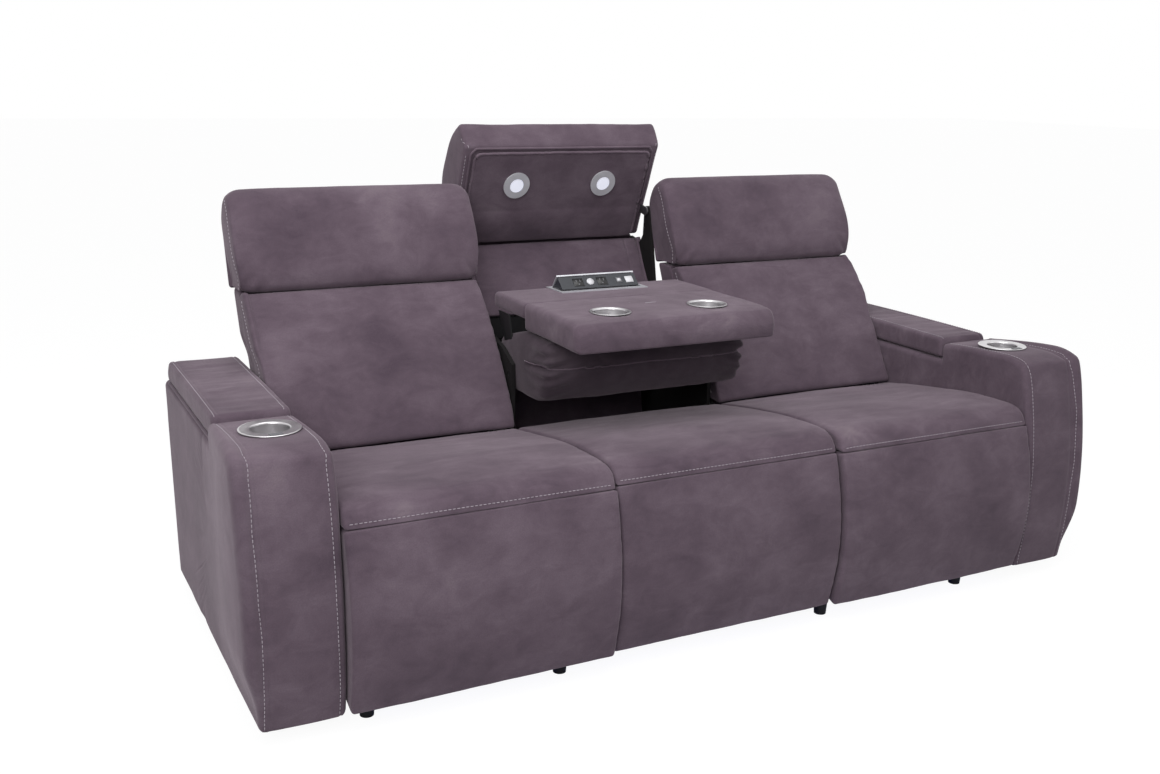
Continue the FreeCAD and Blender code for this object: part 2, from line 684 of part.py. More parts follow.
def build():
    parts = {
        "base_frame": base_frame(),
        "feet": feet(),
        "led_strip": led_strip(),
        "arm_frames": arm_frames(),
        "touch_pads": touch_pads(),
        "middle_seat_cushion": seat_cushion(0, SEAT_STEP_BACK),
        "seat_decks": seat_decks(),
        "middle_front_panel": front_pad(0, SEAT_STEP_BACK),
        "mechanism_plates": mechanism_plates(),
        "drive_motors": drive_motors(),
        "power_supply": power_supply(),
        "power_inlet": power_inlet(),
        "middle_back_frame": middle_back_frame(),
        "middle_back_panel": middle_back_panel(),
        "middle_rear_cover": middle_rear_cover(),
        "console_slab": console_slab(),
        "console_pad": console_pad(),
        "console_brackets": console_brackets(),
        "console_left_cup": console_cup(-1),
        "console_right_cup": console_cup(1),
        "console_pull": console_pull(),
        "power_unit_housing": power_housing(),
        "power_unit_lid": power_lid(),
        "power_unit_sockets": power_sockets(),
        "middle_headrest_pillow": middle_headrest_pillow(),
        "middle_headrest_panel": middle_headrest_panel(),
        "middle_headrest_brackets": middle_headrest_brackets(),
        "reading_light_rings": reading_light_rings(),
        "reading_light_lenses": reading_light_lenses(),
    }
    fixed_leaves, moving_leaves = lid_hinge_parts()
    parts["arm_lid_hinges"] = fixed_leaves
    for word, side in (("left", -1), ("right", 1)):
        centre = side * SEAT_X
        parts[word + "_arm_cover"] = arm_cover(side)
        parts[word + "_storage_bin"] = storage_bin(side)
        parts[word + "_cup_holder"] = arm_cup(side)
        parts[word + "_arm_lid"] = arm_lid(side)
        parts[word + "_lid_leaf"] = moving_leaves[side]
        parts[word + "_seat_cushion"] = seat_cushion(centre, 0)
        parts[word + "_back_frame"] = back_frame(centre)
        parts[word + "_back_cushion"] = back_cushion(centre)
        parts[word + "_back_cover"] = back_cover(centre)
        parts[word + "_head_pillow"] = head_pillow(centre)
        parts[word + "_headrest_bracket"] = headrest_bracket(centre)
        parts[word + "_footrest_pad"] = front_pad(centre, 0)
        parts[word + "_footrest_board"] = footrest_board(centre)
        parts[word + "_drive_links"] = drive_links(centre)
        parts[word + "_carrier_links"] = carrier_links(centre)
    return parts


def report(saved):
    whole = Part.makeCompound(saved).BoundBox
    print("nodes %d" % len(saved))
    print("whole x %.1f %.1f  y %.1f %.1f  z %.1f %.1f" % (
        whole.XMin, whole.XMax, whole.YMin, whole.YMax, whole.ZMin, whole.ZMax))


os.makedirs("parts", exist_ok=True)
report([save(name, shape) for name, shape in build().items()])
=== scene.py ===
import math

import bmesh
import bpy
import numpy as np
from mathutils import Matrix, Vector, noise
from mathutils.bvhtree import BVHTree


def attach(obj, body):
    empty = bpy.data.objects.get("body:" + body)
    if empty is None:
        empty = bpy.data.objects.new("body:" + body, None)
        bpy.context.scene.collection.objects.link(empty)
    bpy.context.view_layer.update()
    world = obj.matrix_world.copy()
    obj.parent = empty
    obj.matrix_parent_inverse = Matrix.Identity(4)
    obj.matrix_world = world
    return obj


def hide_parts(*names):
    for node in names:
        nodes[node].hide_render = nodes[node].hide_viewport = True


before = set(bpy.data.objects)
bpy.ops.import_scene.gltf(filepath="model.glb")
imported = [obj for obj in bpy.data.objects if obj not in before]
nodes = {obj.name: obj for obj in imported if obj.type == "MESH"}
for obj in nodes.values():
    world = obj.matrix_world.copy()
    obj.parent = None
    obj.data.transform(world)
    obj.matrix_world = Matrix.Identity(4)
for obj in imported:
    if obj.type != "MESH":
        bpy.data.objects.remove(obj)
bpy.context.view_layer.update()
depthCentre = 516.8                       # side outlines count y from the arms' lower front edge
print("frame loaded:", len(nodes), "nodes")

# Shared measures of the sofa, in millimetres
sofa = {"armOuter": 1102.5, "armInner": 929.0, "seatX": 619.333, "half": 306.667,
        "foldAngle": 121.0, "foldHinge": (600.0, 560.0)}
armMiddle = (sofa["armOuter"] + sofa["armInner"]) / 2
armHalf = (sofa["armOuter"] - sofa["armInner"]) / 2


def place(x, y, z):
    return Vector((x, y - depthCentre, z)) * 0.001


def folded(along, behind):                # point beside the folded-up console, as (y, z)
    a = math.radians(sofa["foldAngle"])
    return (sofa["foldHinge"][0] - along * math.cos(a) + behind * math.sin(a),
            sofa["foldHinge"][1] + along * math.sin(a) + behind * math.cos(a))


def smoothStep(a, b, v):
    t = min(max((v - a) / (b - a), 0.0), 1.0)
    return t * t * (3 - 2 * t)


def bell(v, centre, width):
    return math.exp(-((v - centre) / width) ** 2)


# Padded forms: side outlines swept across a module, with seams and drawn-in ends

def insetCorners(corners, distance):
    pts = np.array(corners, float)
    ahead = np.roll(pts, -1, 0) - pts
    ahead /= np.linalg.norm(ahead, axis=1)[:, None]
    inward = np.stack((-ahead[:, 1], ahead[:, 0]), 1)
    before = np.roll(inward, 1, 0)
    share = np.maximum(1 + (inward * before).sum(1), 0.5)
    return pts + (inward + before) / share[:, None] * distance


def outlineRing(corners, crowns, rounds, counts, bend=5):
    pts = np.asarray(corners, float)
    n = len(pts)
    ring = []
    for i in range(n):
        a, b, c = pts[i], pts[(i + 1) % n], pts[(i + 2) % n]
        side = b - a
        length = np.linalg.norm(side)
        out = np.array((side[1], -side[0])) / length
        t0 = min(rounds[i] / length, sweepSet["cornerShare"])
        t1 = 1 - min(rounds[(i + 1) % n] / length, sweepSet["cornerShare"])
        s = np.linspace(t0, t1, counts[i])[:, None]
        ring.append(a + side * s + out * (crowns[i] * 4 * s * (1 - s)))
        nextSide = c - b
        nextLength = np.linalg.norm(nextSide)
        nextOut = np.array((nextSide[1], -nextSide[0])) / nextLength
        u = min(rounds[(i + 1) % n] / nextLength, sweepSet["cornerShare"])
        start = ring[-1][-1]
        end = b + nextSide * u + nextOut * (crowns[(i + 1) % n] * 4 * u * (1 - u))
        k = np.linspace(0, 1, bend + 2)[1:-1, None]
        ring.append((1 - k) ** 2 * start + 2 * k * (1 - k) * b + k ** 2 * end)
    return np.concatenate(ring)


sweepSet = {"seamClear": 5.5, "seamRows": (-5, -2.8, -1.4, 0, 1.4, 2.8, 5),
            "edgeTurns": (15, 30, 45, 60, 75, 90), "endRows": (0.97, 0.9, 0.75, 0.5, 0.2),
            "cornerShare": 0.46}


def sweepRows(spec):                      # (x, inset, shrink) from one end to the other
    half, edge = spec["half"], spec["edge"]
    body = half - edge
    steps = max(int(body * 2 / spec.get("step", 9)), 6)
    rows = [(x, 0.0, 1.0) for x in np.linspace(-body, body, steps)]
    for seam in spec.get("seams", ()):
        rows = [r for r in rows if abs(r[0] - seam) > sweepSet["seamClear"]]
        rows += [(seam + d, 0.0, 1.0) for d in sweepSet["seamRows"]]
    rows = sorted(set(r for r in rows if abs(r[0]) <= body))
    turn = [math.radians(a) for a in sweepSet["edgeTurns"]]
    roundRows = [(body + edge * math.sin(a), edge * (1 - math.cos(a)), 1.0) for a in turn]
    endCrown = spec.get("endCrown", 2.0)
    shrink = spec.get("endRows", sweepSet["endRows"])
    capRows = [(half + endCrown * (1 - k * k), edge, k) for k in shrink]
    right = roundRows + capRows
    left = [(-x, i, k) for x, i, k in reversed(right)]
    return left + rows + right


def sweptForm(spec, centre=0.0):
    corners, crowns, half = spec["corners"], spec["crowns"], spec["half"]
    rounds = spec.get("rounds", [10] * len(corners))
    cell = spec.get("cell", 10)
    pts = np.array(corners, float)
    sides = np.linalg.norm(np.roll(pts, -1, 0) - pts, axis=1)
    counts = [max(int(length / cell), 3) for length in sides]
    mid = np.array(spec.get("middle", pts.mean(0)), float)
    power = spec.get("power", 2.9)
    draw = spec.get("drawIn", 12.0)
    rings, xs = [], []
    for x, inset, shrink in sweepRows(spec):
        t = min(abs(x) / half, 1.0)
        full = (1 - t ** power) ** (1 / power)
        reach = np.linalg.norm(mid - pts, axis=1)[:, None]
        drawn = pts + (mid - pts) * (draw * (1 - full) / reach)
        if inset > 0:
            drawn = insetCorners(drawn, inset)
        share = spec.get("crownAtEnds", 0.3)
        bulge = [c * (share + (1 - share) * full) for c in crowns]
        squareness = spec.get("endRound", 1.0)
        soft = squareness + (1 - squareness) * full
        ring = outlineRing(drawn, bulge, [r * soft for r in rounds], counts)
        ring = mid + (ring - mid) * shrink
        rings.append(ring)
        xs.append(x)
    rings = np.array(rings)
    return np.array(xs) + centre, rings


def formMesh(xs, rings):
    count, around = rings.shape[:2]
    bm = bmesh.new()
    grid = [[bm.verts.new(place(xs[i], p[0], p[1])) for p in rings[i]] for i in range(count)]
    for i in range(count - 1):
        for j in range(around):
            k = (j + 1) % around
            bm.faces.new((grid[i][j], grid[i][k], grid[i + 1][k], grid[i + 1][j]))
    for row in (grid[0], grid[-1]):
        middle = bm.verts.new(sum((v.co for v in row), Vector()) / around)
        for j in range(around):
            bm.faces.new((row[j], row[(j + 1) % around], middle))
    bmesh.ops.recalc_face_normals(bm, faces=bm.faces)
    return bm


def finishMesh(name, bm, material, smooth=True):
    mesh = bpy.data.meshes.new(name)
    bm.to_mesh(mesh)
    bm.free()
    for face in mesh.polygons:
        face.use_smooth = smooth
    obj = bpy.data.objects.new(name, mesh)
    bpy.context.scene.collection.objects.link(obj)
    if material:
        mesh.materials.append(material)
    return obj


def shapeSurface(bm, shift):              # shift(x, y, z, normal) gives millimetres outwards
    bm.normal_update()
    moves = []
    for v in bm.verts:
        moves.append(v.normal * (0.001 * shift(v.co.x * 1000, v.co.y * 1000 + depthCentre,
                                              v.co.z * 1000, v.normal)))
    for v, move in zip(bm.verts, moves):
        v.co += move
    bm.normal_update()


def undulate(x, y, z, scale, seed, stretch=(1, 1, 1)):
    p = Vector((x * stretch[0] / scale + seed * 7.31, y * stretch[1] / scale, z * stretch[2] / scale))
    return noise.noise(p)


def joinBm(target, other):
    mesh = bpy.data.meshes.new("part")
    other.to_mesh(mesh)
    other.free()
    target.from_mesh(mesh)
    bpy.data.meshes.remove(mesh)
    return target


def dress(obj, body, replaced=()):
    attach(obj, body)
    if replaced:
        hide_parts(*replaced)
    return obj


def softPiece(name, form, centre, surface, material, body, replaced):
    bm = formMesh(*sweptForm(form, centre))
    shapeSurface(bm, surface)
    return dress(finishMesh(name, bm, material), body, replaced)


# Topstitching and welts laid on a finished surface

def surfaceTree(*objs):
    verts, faces = [], []
    for obj in objs:
        base = len(verts)
        verts += [v.co.copy() for v in obj.data.vertices]
        faces += [[base + i for i in f.vertices] for f in obj.data.polygons]
    return BVHTree.FromPolygons(verts, faces)


def evenPoints(points, spacing):          # points along a polyline, a spacing apart
    pts = [Vector(p) for p in points]
    lengths = [0.0]
    for a, b in zip(pts, pts[1:]):
        lengths.append(lengths[-1] + (b - a).length)
    count = max(int(lengths[-1] / spacing), 1)
    out, j = [], 0
    for i in range(count + 1):
        want = lengths[-1] * i / count
        while j < len(pts) - 2 and lengths[j + 1] < want:
            j += 1
        span = lengths[j + 1] - lengths[j]
        out.append(pts[j].lerp(pts[j + 1], (want - lengths[j]) / span if span else 0.0))
    return out


def tubeAlong(bm, points, radii, normals, sides=6, flat=1.0, closed=False):
    count = len(points)
    rings = []
    for i, (p, r, up) in enumerate(zip(points, radii, normals)):
        ahead = points[(i + 1) % count if closed else min(i + 1, count - 1)]
        behind = points[(i - 1) % count if closed else max(i - 1, 0)]
        along = (ahead - behind).normalized()
        across = along.cross(up).normalized()
        lift = across.cross(along).normalized()
        rings.append([bm.verts.new(p + across * math.cos(a) * r + lift * math.sin(a) * r * flat)
                      for a in (2 * math.pi * k / sides for k in range(sides))])
    last = count if closed else count - 1
    for i in range(last):
        a, b = rings[i], rings[(i + 1) % count]
        for k in range(sides):
            m = (k + 1) % sides
            bm.faces.new((a[k], a[m], b[m], b[k]))
    if not closed:
        bm.faces.new(rings[0])
        bm.faces.new(rings[-1])


stitchSet = {"pitch": 0.0098, "dash": 0.0068, "radius": 0.00085, "rise": 0.0005}


def stitchRun(bm, tree, path):
    s = stitchSet
    spots = evenPoints(path, s["pitch"])
    for a, b in zip(spots, spots[1:]):
        along = (b - a).normalized() * s["dash"]
        ends = [a, a + along * 0.25, a + along * 0.75, a + along]
        points, ups = [], []
        for k, p in enumerate(ends):
            at, normal, _, _ = tree.find_nearest(p)
            points.append(at + normal * (s["rise"] if k in (1, 2) else -s["rise"]))
            ups.append(normal)
        tubeAlong(bm, points, [s["radius"] * 0.7, s["radius"], s["radius"], s["radius"] * 0.7], ups, 5)


def weltRun(bm, tree, path, radius, sink=0.3, closed=False, spacing=0.006):
    spots = evenPoints(path, spacing)
    if closed:
        spots = spots[:-1]
    points, ups = [], []
    for p in spots:
        at, normal, _, _ = tree.find_nearest(p)
        points.append(at + normal * radius * (1 - 2 * sink))
        ups.append(normal)
    tubeAlong(bm, points, [radius] * len(points), ups, 8, closed=closed)


def latheShell(bm, centre, profile, sides=72):   # profile: (radius, height) pairs about an upright axis
    turns = [2 * math.pi * k / sides for k in range(sides)]
    cx, cy = centre
    rings = [[bm.verts.new(place(cx + radius * math.cos(a), cy + radius * math.sin(a), height)) for a in turns]
             for radius, height in profile]
    for a, b in zip(rings, rings[1:]):
        for k in range(sides):
            m = (k + 1) % sides
            bm.faces.new((a[k], a[m], b[m], b[k]))
    bm.faces.new(rings[0])
    bm.faces.new(rings[-1])
    bmesh.ops.recalc_face_normals(bm, faces=bm.faces)


# Materials

def newGroup(name, inputs, outputs):
    group = bpy.data.node_groups.new(name, "ShaderNodeTree")
    for label, kind, value in inputs:
        socket = group.interface.new_socket(name=label, in_out="INPUT", socket_type=kind)
        socket.default_value = value
    for label, kind in outputs:
        group.interface.new_socket(name=label, in_out="OUTPUT", socket_type=kind)
    return group, group.nodes.new("NodeGroupInput"), group.nodes.new("NodeGroupOutput")


def addNode(tree, kind, **settings):
    node = tree.nodes.new(kind)
    for key, value in settings.items():
        if key.startswith("in_"):
            node.inputs[int(key[3:])].default_value = value
        else:
            setattr(node, key, value)
    return node


def ramp(tree, stops):
    node = tree.nodes.new("ShaderNodeValToRGB")
    bar = node.color_ramp
    bar.elements[0].position, bar.elements[0].color = stops[0][0], stops[0][1]
    bar.elements[1].position, bar.elements[1].color = stops[1][0], stops[1][1]
    for position, colour in stops[2:]:
        bar.elements.new(position).color = colour
    return node


def srgb(r, g, b):
    def lin(v):
        v /= 255.0
        return v / 12.92 if v <= 0.04045 else ((v + 0.055) / 1.055) ** 2.4
    return (lin(r), lin(g), lin(b), 1.0)


def buildNap():                           # cloudy brushed nap of faux suede, as a 0..1 mask
    group, gin, gout = newGroup("napClouds", [
        ("Place", "NodeSocketVector", (0, 0, 0)), ("Cloud Scale", "NodeSocketFloat", 9.0),
        ("Stroke Scale", "NodeSocketFloat", 26.0), ("Stroke Amount", "NodeSocketFloat", 0.5)],
        [("Mask", "NodeSocketFloat")])
    links = group.links
    warp = addNode(group, "ShaderNodeTexNoise", in_2=5.0, in_3=2.0)
    links.new(gin.outputs["Place"], warp.inputs["Vector"])
    bend = addNode(group, "ShaderNodeVectorMath", operation="SCALE")
    bend.inputs["Scale"].default_value = 0.06
    links.new(warp.outputs["Color"], bend.inputs[0])
    shifted = addNode(group, "ShaderNodeVectorMath", operation="ADD")
    links.new(gin.outputs["Place"], shifted.inputs[0])
    links.new(bend.outputs["Vector"], shifted.inputs[1])
    cloud = addNode(group, "ShaderNodeTexNoise", in_3=4.0, in_4=0.62)
    links.new(shifted.outputs["Vector"], cloud.inputs["Vector"])
    links.new(gin.outputs["Cloud Scale"], cloud.inputs["Scale"])
    squeeze = addNode(group, "ShaderNodeVectorMath", operation="MULTIPLY")
    squeeze.inputs[1].default_value = (0.55, 1.3, 1.0)
    links.new(shifted.outputs["Vector"], squeeze.inputs[0])
    stroke = addNode(group, "ShaderNodeTexNoise", in_3=3.0, in_4=0.7)
    stroke.inputs["Distortion"].default_value = 0.7
    links.new(squeeze.outputs["Vector"], stroke.inputs["Vector"])
    links.new(gin.outputs["Stroke Scale"], stroke.inputs["Scale"])
    centred = addNode(group, "ShaderNodeMath", operation="SUBTRACT", in_1=0.5)
    links.new(stroke.outputs["Fac"], centred.inputs[0])
    weighed = addNode(group, "ShaderNodeMath", operation="MULTIPLY")
    links.new(centred.outputs[0], weighed.inputs[0])
    links.new(gin.outputs["Stroke Amount"], weighed.inputs[1])
    both = addNode(group, "ShaderNodeMath", operation="ADD", use_clamp=True)
    links.new(cloud.outputs["Fac"], both.inputs[0])
    links.new(weighed.outputs[0], both.inputs[1])
    links.new(both.outputs[0], gout.inputs["Mask"])
    return group


def buildGrain():                         # short fibres and fine pits, as a height and a fleck mask
    group, gin, gout = newGroup("suedeGrain", [
        ("Place", "NodeSocketVector", (0, 0, 0)), ("Fibre Scale", "NodeSocketFloat", 420.0),
        ("Lump Scale", "NodeSocketFloat", 70.0), ("Lump Amount", "NodeSocketFloat", 0.6)],
        [("Height", "NodeSocketFloat"), ("Fleck", "NodeSocketFloat")])
    links = group.links
    fibre = addNode(group, "ShaderNodeTexNoise", in_3=3.0, in_4=0.7)
    links.new(gin.outputs["Place"], fibre.inputs["Vector"])
    links.new(gin.outputs["Fibre Scale"], fibre.inputs["Scale"])
    lump = addNode(group, "ShaderNodeTexNoise", in_3=3.0)
    links.new(gin.outputs["Place"], lump.inputs["Vector"])
    links.new(gin.outputs["Lump Scale"], lump.inputs["Scale"])
    scaled = addNode(group, "ShaderNodeMath", operation="MULTIPLY")
    links.new(lump.outputs["Fac"], scaled.inputs[0])
    links.new(gin.outputs["Lump Amount"], scaled.inputs[1])
    total = addNode(group, "ShaderNodeMath", operation="ADD")
    links.new(fibre.outputs["Fac"], total.inputs[0])
    links.new(scaled.outputs[0], total.inputs[1])
    links.new(total.outputs[0], gout.inputs["Height"])
    links.new(fibre.outputs["Fac"], gout.inputs["Fleck"])
    return group


def buildWear():                          # smudges and small scratches on metal and plastic
    group, gin, gout = newGroup("surfaceWear", [
        ("Place", "NodeSocketVector", (0, 0, 0)), ("Smudge Scale", "NodeSocketFloat", 30.0),
        ("Low", "NodeSocketFloat", 0.25), ("High", "NodeSocketFloat", 0.45)],
        [("Roughness", "NodeSocketFloat"), ("Height", "NodeSocketFloat")])
    links = group.links
    smudge = addNode(group, "ShaderNodeTexNoise", in_3=4.0, in_4=0.6)
    links.new(gin.outputs["Place"], smudge.inputs["Vector"])
    links.new(gin.outputs["Smudge Scale"], smudge.inputs["Scale"])
    spread = addNode(group, "ShaderNodeMapRange")
    links.new(smudge.outputs["Fac"], spread.inputs["Value"])
    links.new(gin.outputs["Low"], spread.inputs["To Min"])
    links.new(gin.outputs["High"], spread.inputs["To Max"])
    fine = addNode(group, "ShaderNodeTexNoise", in_2=600.0, in_3=2.0)
    links.new(gin.outputs["Place"], fine.inputs["Vector"])
    links.new(spread.outputs["Result"], gout.inputs["Roughness"])
    links.new(fine.outputs["Fac"], gout.inputs["Height"])
    return group


napGroup = buildNap()
grainGroup = buildGrain()
wearGroup = buildWear()


def startMaterial(name, roughness=0.5):
    material = bpy.data.materials.new(name)
    material.use_nodes = True
    tree = material.node_tree
    shader = tree.nodes["Principled BSDF"]
    shader.inputs["Roughness"].default_value = roughness
    coords = tree.nodes.new("ShaderNodeTexCoord")
    return material, tree, shader, coords


def useGroup(tree, group, coords, **values):
    node = tree.nodes.new("ShaderNodeGroup")
    node.node_tree = group
    tree.links.new(coords.outputs["Object"], node.inputs["Place"])
    for label, value in values.items():
        node.inputs[label.replace("_", " ")].default_value = value
    return node


suedeTones = {"dark": (81, 68, 79), "body": (95, 81, 92), "light": (107, 93, 104),
              "brushed": (124, 111, 119)}


suedeSet = {
    "fleckRange": {"From Min": 0.35, "From Max": 0.65, "To Min": 0.0, "To Max": 0.42},
    "fleckTint": (0.62, 0.6, 0.62, 1.0), "bumpStrength": 0.35, "bumpDistance": 0.0012, "roughness": 0.92,
    "specular": 0.22, "sheen": 0.35, "sheenRoughness": 0.45, "sheenTint": (214, 202, 210),
    "cloudScale": 4.2, "toneStops": (0.28, 0.48, 0.64)}


def suede(name, lift=1.0, strokes=0.4, strokeScale=20.0, brushed=0.9):
    material, tree, shader, coords = startMaterial(name, suedeSet["roughness"])
    links = tree.links
    nap = useGroup(tree, napGroup, coords, Cloud_Scale=suedeSet["cloudScale"], Stroke_Scale=strokeScale,
                   Stroke_Amount=strokes)
    # lift below 1 darkens every tone, which makes darker copies of the suede that carry painted shade
    tones = {k: tuple(min(c * lift, 1.0) for c in srgb(*v)[:3]) + (1.0,) for k, v in suedeTones.items()}
    darkAt, bodyAt, lightAt = suedeSet["toneStops"]
    colours = ramp(tree, [(darkAt, tones["dark"]), (brushed, tones["brushed"]), (bodyAt, tones["body"]),
                          (lightAt, tones["light"])])
    links.new(nap.outputs["Mask"], colours.inputs["Fac"])
    grain = useGroup(tree, grainGroup, coords)
    fleckRange = addNode(tree, "ShaderNodeMapRange")
    for label, value in suedeSet["fleckRange"].items():
        fleckRange.inputs[label].default_value = value
    links.new(grain.outputs["Fleck"], fleckRange.inputs["Value"])
    mix = addNode(tree, "ShaderNodeMix", data_type="RGBA", blend_type="MULTIPLY")
    links.new(fleckRange.outputs["Result"], mix.inputs["Factor"])
    links.new(colours.outputs["Color"], mix.inputs[6])
    mix.inputs[7].default_value = suedeSet["fleckTint"]
    links.new(mix.outputs[2], shader.inputs["Base Color"])
    bump = addNode(tree, "ShaderNodeBump")
    bump.inputs["Strength"].default_value = suedeSet["bumpStrength"]
    bump.inputs["Distance"].default_value = suedeSet["bumpDistance"]
    links.new(grain.outputs["Height"], bump.inputs["Height"])
    links.new(bump.outputs["Normal"], shader.inputs["Normal"])
    shader.inputs["Specular IOR Level"].default_value = suedeSet["specular"]
    shader.inputs["Sheen Weight"].default_value = suedeSet["sheen"]
    shader.inputs["Sheen Roughness"].default_value = suedeSet["sheenRoughness"]
    shader.inputs["Sheen Tint"].default_value = srgb(*suedeSet["sheenTint"])
    return material


def hardMaterial(name, colour, metallic=0.0, low=0.25, high=0.45, smudge=30.0, bumpStrength=0.05,
                 specular=0.5, coat=0.0):
    material, tree, shader, coords = startMaterial(name)
    wear = useGroup(tree, wearGroup, coords, Smudge_Scale=smudge, Low=low, High=high)
    tree.links.new(wear.outputs["Roughness"], shader.inputs["Roughness"])
    bump = addNode(tree, "ShaderNodeBump")
    bump.inputs["Strength"].default_value = bumpStrength
    bump.inputs["Distance"].default_value = 0.0005
    tree.links.new(wear.outputs["Height"], bump.inputs["Height"])
    tree.links.new(bump.outputs["Normal"], shader.inputs["Normal"])
    tone = addNode(tree, "ShaderNodeTexNoise", in_2=smudge * 0.7, in_3=3.0)
    tree.links.new(coords.outputs["Object"], tone.inputs["Vector"])
    base = srgb(*colour)
    darker = tuple(c * 0.86 for c in base[:3]) + (1.0,)
    mixed = ramp(tree, [(0.35, darker), (0.65, base)])
    tree.links.new(tone.outputs["Fac"], mixed.inputs["Fac"])
    tree.links.new(mixed.outputs["Color"], shader.inputs["Base Color"])
    shader.inputs["Metallic"].default_value = metallic
    shader.inputs["Specular IOR Level"].default_value = specular
    shader.inputs["Coat Weight"].default_value = coat
    return material

# Finishes, among them two darker suede copies that carry painted shade

suedeMain = suede("mauveSuede")
suedeSeat = suede("mauveSuedeBrushed", strokes=0.6, strokeScale=17.0, brushed=0.84)
# A darker copy of the suede: painted shade for the hinge crease and the framed headrest face.
suedePaintedShade = suede("mauveSuedePaintedShade", lift=0.92, strokes=0.4)
# A much darker copy of the suede: painted shade for the shadow under the console table, so folded up the pad
# looks darker than its neighbours.
suedePadPaintedShade = suede("mauveSuedePadPaintedShade", lift=0.46, strokes=0.5)
threadMaterial = hardMaterial("paleThread", (178, 170, 178), low=0.7, high=0.85, specular=0.2)
steelMaterial = hardMaterial("brushedSteel", (214, 212, 214), metallic=1.0, low=0.24, high=0.4)
silverMaterial = hardMaterial("silverTrim", (206, 206, 212), metallic=0.45, low=0.3, high=0.45)
ringMaterial = hardMaterial("silverLightRing", (206, 206, 212), metallic=0.25, low=0.3, high=0.45)
blackPlastic = hardMaterial("blackPlastic", (18, 18, 20), low=0.3, high=0.5)
fasciaMaterial = hardMaterial("charcoalFascia", (46, 48, 54), low=0.35, high=0.5)
blackRail = hardMaterial("blackPaintedSteel", (20, 20, 22), low=0.4, high=0.6)
darkBoard = hardMaterial("blackStainedBoard", (22, 20, 21), low=0.7, high=0.9, specular=0.25)
zincSteel = hardMaterial("zincSteel", (150, 150, 152), metallic=1.0, low=0.35, high=0.55)
greyPad = hardMaterial("greyTouchPad", (108, 108, 112), low=0.4, high=0.6)
whitePlastic = hardMaterial("whitePlastic", (226, 226, 230), low=0.3, high=0.5)
blackSheet = hardMaterial("blackLowerSheet", (16, 15, 17), low=0.8, high=0.95, specular=0.15)
print("finishes made")


def paintNodes(material, *names):
    for name in names:
        mesh = nodes[name].data
        mesh.materials.clear()
        mesh.materials.append(material)


paintNodes(blackRail, "base_frame", "drive_motors", "console_brackets")
paintNodes(blackPlastic, "feet", "power_supply", "power_inlet", "left_storage_bin", "right_storage_bin",
           "power_unit_sockets")
paintNodes(darkBoard, "arm_frames", "seat_decks", "middle_back_frame", "left_footrest_board",
           "right_footrest_board")
paintNodes(zincSteel, "mechanism_plates", "left_back_frame", "right_back_frame", "left_headrest_bracket",
           "right_headrest_bracket", "left_drive_links", "right_drive_links", "left_carrier_links",
           "right_carrier_links", "middle_headrest_brackets", "arm_lid_hinges",
           "left_lid_leaf", "right_lid_leaf")
paintNodes(silverMaterial, "power_unit_housing", "power_unit_lid", "console_pull")
paintNodes(ringMaterial, "reading_light_rings")
paintNodes(greyPad, "touch_pads")


def glowMaterial(name, colour, glow, strength):
    material, tree, shader, coords = startMaterial(name, 0.35)
    cloud = addNode(tree, "ShaderNodeTexNoise", in_2=60.0, in_3=2.0)
    tree.links.new(coords.outputs["Object"], cloud.inputs["Vector"])
    base = srgb(*colour)
    colours = ramp(tree, [(0.3, tuple(c * 0.9 for c in base[:3]) + (1.0,)), (0.7, base)])
    tree.links.new(cloud.outputs["Fac"], colours.inputs["Fac"])
    tree.links.new(colours.outputs["Color"], shader.inputs["Base Color"])
    shader.inputs["Emission Color"].default_value = srgb(*glow)
    shader.inputs["Emission Strength"].default_value = strength
    return material


paintNodes(glowMaterial("frostedLens", (226, 228, 236), (235, 238, 255), 0.45), "reading_light_lenses")
paintNodes(glowMaterial("blueLightStrip", (120, 130, 240), (60, 70, 255), 2.2), "led_strip")


def punchHole(bm, inside, snap, depth):
    bm.normal_update()
    gone = [f for f in bm.faces if f.normal.z > 0.4 and inside(f.calc_center_median())]
    bmesh.ops.delete(bm, geom=gone, context="FACES")
    rim = [e for e in bm.edges if e.is_boundary]
    for v in {v for e in rim for v in e.verts}:
        snap(v)
    walls = bmesh.ops.extrude_edge_only(bm, edges=rim)["geom"]
    for v in walls:
        if isinstance(v, bmesh.types.BMVert):
            v.co.z -= depth * 0.001
    edges = [e for e in walls if isinstance(e, bmesh.types.BMEdge) and e.is_boundary]
    bmesh.ops.holes_fill(bm, edges=edges, sides=0)


def roundHole(bm, x, y, radius, depth):
    at = place(x, y, 0)
    reach = radius * 0.001

    def inside(p):
        return math.hypot(p.x - at.x, p.y - at.y) < reach

    def snap(v):
        d = math.hypot(v.co.x - at.x, v.co.y - at.y)
        v.co.x = at.x + (v.co.x - at.x) * reach / d
        v.co.y = at.y + (v.co.y - at.y) * reach / d
    punchHole(bm, inside, snap, depth)


def boxHole(bm, xRange, yRange, zRange, depth):
    low = place(xRange[0], yRange[0], zRange[0])
    high = place(xRange[1], yRange[1], zRange[1])

    def inside(p):
        return all(low[i] < p[i] < high[i] for i in range(3))

    def snap(v):
        gaps = [(abs(v.co[i] - edge[i]), i, edge[i]) for i in (0, 1) for edge in (low, high)]
        _, axis, value = min(gaps)
        v.co[axis] = value
    punchHole(bm, inside, snap, depth)


def trimPiece(name, bm, material, body, replaced=()):
    bmesh.ops.recalc_face_normals(bm, faces=bm.faces)
    obj = finishMesh(name, bm, material)
    return dress(obj, body, replaced)


# Arms: padded box with a hollow under its lid

